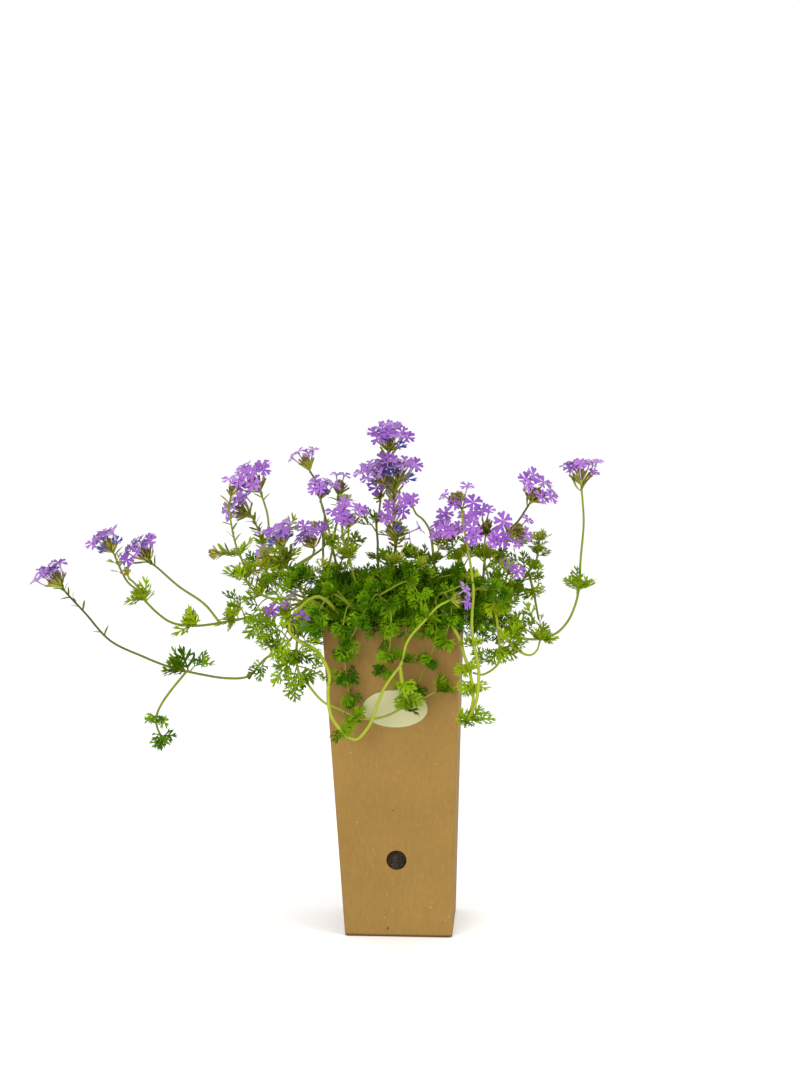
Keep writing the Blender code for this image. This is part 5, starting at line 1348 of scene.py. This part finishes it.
# %% Grow every stem and its heads
def dress_stem(node, plant):
    """The green piece of a stem, and a piece for the florets of each of its heads."""
    greens = Skin()
    routes = laid_out(plant)
    lines = [fine_line(points) for points in routes]
    if node in BARE_JOINTS:
        grow_stub(greens, nearest(lines[0], seen(BARE_JOINTS[node])))
    for i, twig in enumerate(TWIGS.get(node, ())):
        grow_twig(greens, lines, twig, (node, "twig", i))
    for order, (points, route) in enumerate(zip(routes, plant.routes)):
        grow_stem(greens, node, order, route, points, lines)
        if route.head and route.head.name:
            petals = Skin()
            bloom = route.head.name
            axis = unit(np.array(route.head.facing))
            grow_florets(petals, points[-1], axis, route.head.share, STAGES[bloom], dice(bloom))
            for foot, throat, facing, spread in single_stances(bloom, lines):
                mouth = foot + (throat - foot) * CALYX_PART
                grow_floret(petals, mouth, throat, facing, spread, dice(*throat))
            petals.piece(bloom.replace("bloom_", "florets_"), PETAL_FINISHES, bloom, "petals")
    greens.piece(node.replace("stem_", "leafy_stem_"), GREENS, node, "foliage")


for node, plant in STEMS.items():
    dress_stem(node, plant)

# %% [markdown]
# ## The mound
# Between the long stems, many short shoots crowd out of the pot and make a low green mound that
# hangs a little over the rim. The solids hold its longest sprays. A particle system could not be
# exported, so 250 shoots are spread over a dome by the golden angle, which leaves no gaps and no
# rows. Each rises from the soil, arches over, and carries pairs of leaves along its outer part. It
# belongs to the piece of the spray on its side of the mound.

# %% Shoots over a dome
SHOOTS, SHOOT_RADIUS, ROOT_SPREAD = 250, 0.5, 38.0
DOME_MIDDLE = np.array((1.0, 0.0, 229.0))
DOME_RADII = np.array((80.0, 62.0, 37.0))
CREST_RISE, TIP_FALL, TIP_VARIES = 12.0, 9.0, (0.9, 1.06)
SHOOT_LEAF, LAST_PAIR = (8.0, 12.5), 0.8
LEAFY_PART, LEAF_GAP = 36.0, 4.5
TIP_LEAN, SHOOT_LEAN = (18, 34), (42, 72)
PALE_SHOOTS = 0.3
TOP_PART, SIDE_EDGE = 0.86, 25


def grow_shoot(skin, root, crest, tip, names):
    """A thin shoot from the soil over a crest to its tip, with pairs of leaves near its end."""
    rng = dice(*names)
    line = fine_line([root, root + np.array((0, 0, 8.0)), crest, tip], 3.0)
    slot = STEM if rng.random() < PALE_SHOOTS else LEAF
    radii = np.linspace(SHOOT_RADIUS, SHOOT_RADIUS * 0.7, len(line))
    sweep(skin, line, radii, slot, rng.random(), sides=5)
    steps = np.linalg.norm(np.diff(line, axis=0), axis=1)
    left = np.concatenate((np.cumsum(steps[::-1])[::-1], [0.0]))
    turn = rng.uniform(0, math.tau)
    for reach in np.arange(0.0, LEAFY_PART, LEAF_GAP):
        i = min(max(int(np.argmin(np.abs(left - reach))), 1), len(line) - 1)
        turn += math.pi / 2 + rng.uniform(-0.3, 0.3)
        leans, share = (TIP_LEAN, LAST_PAIR) if reach == 0.0 else (SHOOT_LEAN, 1.0)
        leaf_pair(skin, line, i, turn, leans, SHOOT_LEAF, rng, SHADED, look=0.3, share=share)


def spray_of(tip):
    """The spray whose side of the mound a shoot's tip is on."""
    x, y, z = tip
    if z > DOME_MIDDLE[2] + TOP_PART * DOME_RADII[2]:
        return "spray_top"
    side = "left" if x < -SIDE_EDGE else "right" if x > SIDE_EDGE else None
    if y < 0:
        return f"spray_front_{side or 'middle'}"
    return f"spray_back_{side}" if side else "spray_back"


sprays = {node: Skin() for node in SPRAYS}
for i in range(SHOOTS):
    rng = dice("shoot", i)
    outward = math.sqrt((i + 0.5) / SHOOTS)
    turn = i * GOLDEN_ANGLE
    flat = np.array((math.cos(turn) * outward, math.sin(turn) * outward, math.sqrt(1.0 - outward ** 2)))
    tip = DOME_MIDDLE + DOME_RADII * flat * rng.uniform(*TIP_VARIES)
    root = np.array((flat[0] * ROOT_SPREAD, flat[1] * ROOT_SPREAD, SOIL_TOP - 2.0))
    crest = (root + tip) / 2 + np.array((0.0, 0.0, CREST_RISE + CREST_RISE * outward))
    tip[2] -= TIP_FALL * outward ** 4
    grow_shoot(sprays[spray_of(tip)], root, crest, tip, ("shoot", i))

# %% The sprays' own routes
SPRAY_LEAF_LENGTH, SPRAY_GIRTH = 13.0, 0.75
for node, plant in SPRAYS.items():
    for order, (points, route) in enumerate(zip(laid_out(plant), plant.routes)):
        line = fine_line(points)
        radii = np.linspace(STEM_RADIUS, SHOOT_RADIUS, len(line)) * SPRAY_GIRTH
        sweep(sprays[node], line, radii, STEM, 0.1)
        grow_joints(sprays[node], node, order, route, points, SPRAY_LEAF_LENGTH, SHADED)
    sprays[node].piece(node.replace("spray_", "leafy_spray_"), GREENS, node, "foliage")

# %% [markdown]
# ## Kraft board
# The sleeve is brown kraft board. Close up it is not one brown: pulp fibres, a few pale chips and a
# few dark specks lie in it. The solid has the right shape, so it could stay. It is replaced because
# its folds are coarse and its rim is plain, where real corrugated board shows its wave.

# %% Board finishes
def kraft(name, brown, pale):
    finish = Finish(name, 0.82, Specular_IOR_Level=0.3)
    cloud = finish.noise(14.0, 4.0, 0.6)
    fibres = finish.noise(480.0, 5.0, 0.7, finish.stretched((1.0, 1.0, 0.35)))
    colour = finish.blend(cloud * 0.5 + fibres * 0.5, brown, pale)
    chips = finish.noise(620.0, 2.0, 0.5).above(0.742, 0.012)
    specks = finish.noise(210.0, 2.0, 0.4).above(0.775, 0.012)
    colour = finish.blend(chips * 0.4, colour, (0.70, 0.58, 0.37))
    finish.feed("Base Color", finish.blend(specks * 0.8, colour, (0.10, 0.045, 0.015)))
    finish.bump(fibres, 0.0002, 0.5)
    return finish


board_finish = kraft("kraft_board", (0.140, 0.070, 0.0105), (0.306, 0.184, 0.044))
raw_finish = kraft("raw_board_edge", (0.16, 0.085, 0.035), (0.30, 0.175, 0.075))

# %% [markdown]
# The sleeve is swept from rings, like the solid, but with rounder folds and a slight bow in each
# wall, because board that holds damp soil never stays flat. Its rim shows two liners with the wave
# of the fluting between them.

# %% Pot sleeve
BOARD, GAP = 1.6, 0.3
FOOT_HALF, RIM_HALF, RIM_LEAN = 40.0, 50.5, -5.0
FOLD_RADIUS, FOLD_STEPS = 1.5, 6
WALL_STEPS, WALL_ROWS, WALL_BOW = 14, 24, 0.25
HOLE_RADIUS, HOLE_HEIGHT = 7.5, 59.0
LINER, RIM_GROOVE = 0.28, 1.3
FLUTE_PITCH, FLUTE_STEPS, FLUTE_SHEET = 2.9, 10, 0.22
FLUTE_SWING = BOARD / 2 - LINER - FLUTE_SHEET / 2


def half_width(z):
    return FOOT_HALF + (RIM_HALF - FOOT_HALF) * z / RIM_HEIGHT


def lean_at(z):
    return RIM_LEAN * z / RIM_HEIGHT


def square_ring(half, z, bow=0.0):
    """A square with round folds, its walls bowed outwards, standing at a height."""
    ring = []
    inner = half - FOLD_RADIUS
    for corner in range(4):
        middle = np.array((inner if corner in (0, 3) else -inner, inner if corner in (0, 1) else -inner))
        for step in range(FOLD_STEPS + 1):
            turn = math.radians(90 * corner + 90 * step / FOLD_STEPS)
            ring.append(middle + FOLD_RADIUS * np.array((math.cos(turn), math.sin(turn))))
        start = ring[-1]
        out = np.array((math.cos(turn), math.sin(turn)))
        step_along = np.array((-out[1], out[0])) * 2 * inner / WALL_STEPS
        for step in range(1, WALL_STEPS):
            rise = math.sin(math.pi * step / WALL_STEPS) * bow
            ring.append(start + step_along * step + out * rise)
    return np.array([(x + lean_at(z), y, z) for x, y in ring])


def ring_mesh(name, rings, closed):
    """Quads through rings of equal length, capped at the ends unless the rings close on themselves."""
    rows, around = len(rings), len(rings[0])
    if closed:
        total = rows * around
        faces = [tuple(i % total for i in face) for face in ring_faces(rows + 1, around)]
    else:
        faces = ring_faces(rows, around) + caps(rows - 1, around)
    mesh = bpy.data.meshes.new(name)
    mesh.from_pydata((np.concatenate(rings) * MM).tolist(), [], faces)
    mesh.update()
    return mesh


def soften(mesh, degrees):
    """Smooth shading, but for edges sharper than an angle."""
    mesh.shade_smooth()
    mesh.set_sharp_from_angle(angle=math.radians(degrees))


def wall_rings():
    """The rings of the sleeve: up its outside, over the rim and down its inside."""
    foot = BOARD + GAP
    heights = np.linspace(foot, RIM_HEIGHT, WALL_ROWS)
    bows = WALL_BOW * np.sin(np.pi * (heights - foot) / (RIM_HEIGHT - foot))
    outside = [square_ring(half_width(z), z, bow) for z, bow in zip(heights, bows)]
    inside = [square_ring(half_width(z) - BOARD, z, bow) for z, bow in zip(heights, bows)]
    edges = (LINER, 0.0), (LINER, RIM_GROOVE), (BOARD - LINER, RIM_GROOVE), (BOARD - LINER, 0.0)
    groove = [square_ring(half_width(RIM_HEIGHT) - into, RIM_HEIGHT - depth) for into, depth in edges]
    return outside + groove + inside[::-1]


def fluting():
    """The wave between the rim's two liners: a folded strip that closes on itself."""
    ring = square_ring(half_width(RIM_HEIGHT) - BOARD / 2, RIM_HEIGHT)
    steps = np.linalg.norm(np.roll(ring, -1, axis=0) - ring, axis=1)
    gone = np.concatenate(([0.0], np.cumsum(steps)))
    closed_ring = np.concatenate((ring, ring[:1]))
    count = round(gone[-1] / FLUTE_PITCH) * FLUTE_STEPS
    at = gone[-1] * np.arange(count) / count
    path = np.array([np.interp(at, gone, closed_ring[:, k]) for k in range(3)]).T
    ahead = np.roll(path, -1, axis=0) - np.roll(path, 1, axis=0)
    out = np.array((ahead[:, 1], -ahead[:, 0], np.zeros(count))).T
    out /= np.linalg.norm(out, axis=1)[:, None]
    swing = FLUTE_SWING * np.sin(math.tau * np.arange(count) / FLUTE_STEPS)
    rings = []
    for side, drop in ((1, RIM_GROOVE), (1, 0.1), (-1, 0.1), (-1, RIM_GROOVE)):
        rings.append(path + out * (swing + side * FLUTE_SHEET / 2)[:, None] - np.array((0.0, 0.0, drop)))
    return ring_mesh("rim_wave", rings, closed=True)


# %% Cut the round hole, and add the walls and the fluting
ROD_LENGTH, HOLE_SIDES = 10.0, 64


def cut_hole(mesh):
    """The round hole low on the front, taken out with a Boolean whose result is kept."""
    body = bpy.data.objects.new("sleeve_blank", mesh)
    rod_mesh = bpy.data.meshes.new("hole_rod")
    bm = bmesh.new()
    bmesh.ops.create_cone(bm, cap_ends=True, segments=HOLE_SIDES, radius1=HOLE_RADIUS * MM,
                          radius2=HOLE_RADIUS * MM, depth=ROD_LENGTH * MM)
    bm.to_mesh(rod_mesh)
    bm.free()
    rod = bpy.data.objects.new("hole_rod", rod_mesh)
    rod.rotation_euler = (math.pi / 2, 0.0, 0.0)
    rod.location = np.array((lean_at(HOLE_HEIGHT), -half_width(HOLE_HEIGHT), HOLE_HEIGHT)) * MM
    for thing in (body, rod):
        bpy.context.scene.collection.objects.link(thing)
    cut = body.modifiers.new("hole", "BOOLEAN")
    cut.object = rod
    cut.operation = "DIFFERENCE"
    view = bpy.context.evaluated_depsgraph_get()
    result = bpy.data.meshes.new_from_object(body.evaluated_get(view))
    for thing in (body, rod):
        bpy.data.objects.remove(thing)
    return result


sleeve_mesh = cut_hole(ring_mesh("sleeve", wall_rings(), closed=True))
soften(sleeve_mesh, 40)
add_object("pot_walls", sleeve_mesh, [board_finish, raw_finish], "pot_sleeve")
for face in sleeve_mesh.polygons:
    rim = abs(face.normal.z) > 0.9 and face.center.z > (RIM_HEIGHT - RIM_GROOVE - 0.1) * MM
    face.material_index = 1 if rim else 0
add_object("rim_fluting", fluting(), [raw_finish], "pot_sleeve")

# %% [markdown]
# ## Pot floor
# The floor is a square of the same board, lying flat. Only its cut edge shows: two thin liners and
# the wave of the fluting between. A block with stripes painted on its edge would do from afar. It
# is made as the real one is, from two sheets and a folded strip that runs from front to back, so
# the wave shows at the front, as it does in the photograph.

# %% Fluted floor panel
def sheet(bm, low, high):
    """A thin box between two corners."""
    made = bmesh.ops.create_cube(bm, size=1.0)["verts"]
    for vert in made:
        for axis in range(3):
            vert.co[axis] = (low[axis] if vert.co[axis] < 0 else high[axis]) * MM


floor_bm = bmesh.new()
sheet(floor_bm, (-FOOT_HALF, -FOOT_HALF, 0.0), (FOOT_HALF, FOOT_HALF, LINER))
sheet(floor_bm, (-FOOT_HALF, -FOOT_HALF, BOARD - LINER), (FOOT_HALF, FOOT_HALF, BOARD))
upright = [edge for edge in floor_bm.edges if abs(edge.verts[0].co.z - edge.verts[1].co.z) > 1e-5]
bmesh.ops.bevel(floor_bm, geom=upright, offset=FOLD_RADIUS * MM, segments=4, affect="EDGES")
WAVE_HALF, WAVE_DEPTH = FOOT_HALF - 1.0, FOOT_HALF - 0.4
wave_count = round(2 * WAVE_HALF / FLUTE_PITCH) * FLUTE_STEPS


def wave_lane(y, above):
    """One long edge of the folded strip."""
    lane = []
    for i in range(wave_count + 1):
        x = -WAVE_HALF + 2 * WAVE_HALF * i / wave_count
        rise = FLUTE_SWING * math.sin(math.tau * i / FLUTE_STEPS)
        lane.append(floor_bm.verts.new(np.array((x, y, BOARD / 2 + rise + above)) * MM))
    return lane


HALF_SHEET = FLUTE_SHEET / 2
lanes = [wave_lane(y, above) for y, above in ((-WAVE_DEPTH, -HALF_SHEET), (-WAVE_DEPTH, HALF_SHEET),
                                              (WAVE_DEPTH, HALF_SHEET), (WAVE_DEPTH, -HALF_SHEET))]
for low, high in zip(lanes, lanes[1:] + lanes[:1]):
    for i in range(wave_count):
        floor_bm.faces.new((low[i], low[i + 1], high[i + 1], high[i]))
for i in (0, wave_count):
    floor_bm.faces.new([lane[i] for lane in lanes])
bmesh.ops.recalc_face_normals(floor_bm, faces=floor_bm.faces)
panel_mesh = bpy.data.meshes.new("floor_panel")
floor_bm.to_mesh(panel_mesh)
floor_bm.free()
add_object("fluted_floor", panel_mesh, [raw_finish], "pot_floor")
print("flutes across the floor:", wave_count // FLUTE_STEPS)

# %% [markdown]
# ## Label
# An oval of cream paper, with a faint satin coating, stuck to the front wall. It is bare. A disc
# cut from a plane would have no edge to catch the light, so it is a thin plate with a rounded rim.

# %% Paper label
LABEL_HALF_WIDTH, LABEL_HALF_HEIGHT = 24.0, 14.0
LABEL_HEIGHT, LABEL_SHIFT = 174.0, -2.0
label_finish = Finish("cream_paper", 0.5, Specular_IOR_Level=0.45, Coat_Weight=0.15, Coat_Roughness=0.35)
paper_cloud = label_finish.noise(60.0, 4.0, 0.6)
cream = label_finish.blend(paper_cloud, (0.34, 0.325, 0.15), (0.41, 0.385, 0.195))
label_finish.feed("Base Color", cream)
label_finish.bump(label_finish.noise(1500.0, 3.0), 0.0001, 0.3)
wall_tilt = math.atan((RIM_HALF - FOOT_HALF) / RIM_HEIGHT)
PLATE = ((0.001, 0.0), (0.99, 0.0), (1.0, 0.12), (1.0, 0.28), (0.99, 0.4), (0.94, 0.4), (0.5, 0.4),
         (0.001, 0.4))       # how far out and how high its rings are, from the back to the front
around = math.tau * np.arange(96) / 96
label_rings = []
for reach, rise in PLATE:
    x = np.cos(around) * LABEL_HALF_WIDTH * reach
    up = np.sin(around) * LABEL_HALF_HEIGHT * reach
    y = -half_width(LABEL_HEIGHT) - up * math.sin(wall_tilt) - (GAP + rise) / math.cos(wall_tilt)
    label_rings.append(np.column_stack((LABEL_SHIFT + x, y, LABEL_HEIGHT + up * math.cos(wall_tilt))))
label_mesh = ring_mesh("label_plate", label_rings, closed=False)
soften(label_mesh, 50)
add_object("oval_label", label_mesh, [label_finish], "label")

# %% [markdown]
# ## Potting mix
# The mix is dark brown, with crumbs and slightly paler fibres in it. It shows between the stems and
# through the round hole. A block with a noisy surface gives the crumbs, and loose strands lying on
# it give the fibres, which a bump alone could not.

# %% Soil finishes
soil_finish = Finish("potting_mix", 0.95, Specular_IOR_Level=0.2)
crumbs = soil_finish.noise(380.0, 6.0, 0.7)
soil_finish.feed("Base Color", soil_finish.blend(crumbs, (0.004, 0.0025, 0.001), (0.028, 0.017, 0.008)))
soil_finish.bump(crumbs, 0.002, 0.9)
fibre_finish = Finish("root_fibre", 0.85)
fibre_brown = fibre_finish.blend(fibre_finish.kept("tone"), (0.012, 0.007, 0.003), (0.065, 0.042, 0.019))
fibre_finish.feed("Base Color", fibre_brown)
fibre_finish.bump(fibre_finish.noise(1500.0, 2.0), 0.0002, 0.4)

# %% Soil block
SOIL_CRUMB = 1.6
SOIL_ROWS, TOP_ROWS = 30, 16
inset = BOARD + GAP
heights = np.linspace(inset, SOIL_TOP - SOIL_CRUMB, SOIL_ROWS)
rings = [square_ring(half_width(z) - inset, z) for z in heights]
wall_rng = dice("soil wall")
for ring in rings[1:-1]:
    ring[:, :2] *= 1.0 - np.array([[wall_rng.uniform(0.0, 0.012)] for _ in ring])
top_rng = dice("soil top")
edge, middle = rings[-1], np.array((lean_at(SOIL_TOP), 0.0))
for share in np.linspace(0.94, 0.04, TOP_ROWS):
    inward = edge.copy()
    inward[:, :2] = middle + (inward[:, :2] - middle) * share
    inward[:, 2] += [top_rng.uniform(-SOIL_CRUMB, SOIL_CRUMB * 0.9) for _ in inward]
    rings.append(inward)
soil = Skin()
soil_faces = ring_faces(len(rings), len(edge)) + caps(len(rings) - 1, len(edge))
soil.add(np.concatenate(rings), soil_faces, 0, 0.5, 0.0)
print("soil faces:", len(soil_faces))

# %% Fibres on the soil
FIBRE, STRAND_RADIUS, STRAND_LENGTH = 1, (0.14, 0.34), (4, 9)
HOLE_FIBRES, TOP_FIBRES = 110, 160


def grow_fibre(skin, start, direction, length, bulge, rng):
    """A curled strand that lies near where it starts."""
    side = square_to(direction)
    points = [start + direction * length * t + side * math.sin(t * 5 + rng.uniform(0, 6)) * bulge
              for t in (0.0, 0.3, 0.6, 1.0)]
    line = fine_line(points, 1.2)
    radii = np.full(len(line), rng.uniform(*STRAND_RADIUS))
    sweep(skin, line, radii, FIBRE, rng.random(), sides=4, ridge=0.0)


hole_rng = dice("hole fibres")
wall_y = -(half_width(HOLE_HEIGHT) - inset)
for _ in range(HOLE_FIBRES):
    start = np.array((lean_at(HOLE_HEIGHT) + hole_rng.uniform(-9, 5), wall_y + hole_rng.uniform(0.2, 0.8),
                      HOLE_HEIGHT + hole_rng.uniform(-9, 8)))
    direction = unit(np.array((hole_rng.uniform(-0.5, 1.0), 0.0, hole_rng.uniform(-0.8, 1.0))))
    grow_fibre(soil, start, direction, hole_rng.uniform(*STRAND_LENGTH), 0.5, hole_rng)
strand_rng = dice("top fibres")
for _ in range(TOP_FIBRES):
    start = np.array((strand_rng.uniform(-46, 38), strand_rng.uniform(-42, 42), SOIL_TOP - 0.9))
    turn = strand_rng.uniform(0, math.tau)
    direction = np.array((math.cos(turn), math.sin(turn), 0.0))
    grow_fibre(soil, start, direction, strand_rng.uniform(*STRAND_LENGTH), 0.6, strand_rng)
soil.piece("potting_mix", [soil_finish, fibre_finish], "soil", "soil")

# %% [markdown]
# ## Sizes and finish
# The sizes of the solids' box and of the dressed model's box are printed, one after the other.

# %% Write the sizes and finish
dressed_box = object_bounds()
boxes = {"cad": cad_box, "dressed": dressed_box}
plain = {name: [[float(value) for value in corner] for corner in box] for name, box in boxes.items()}
for name, (low, high) in plain.items():
    print(name, [round((b - a) / MM, 1) for a, b in zip(low, high)], "mm")
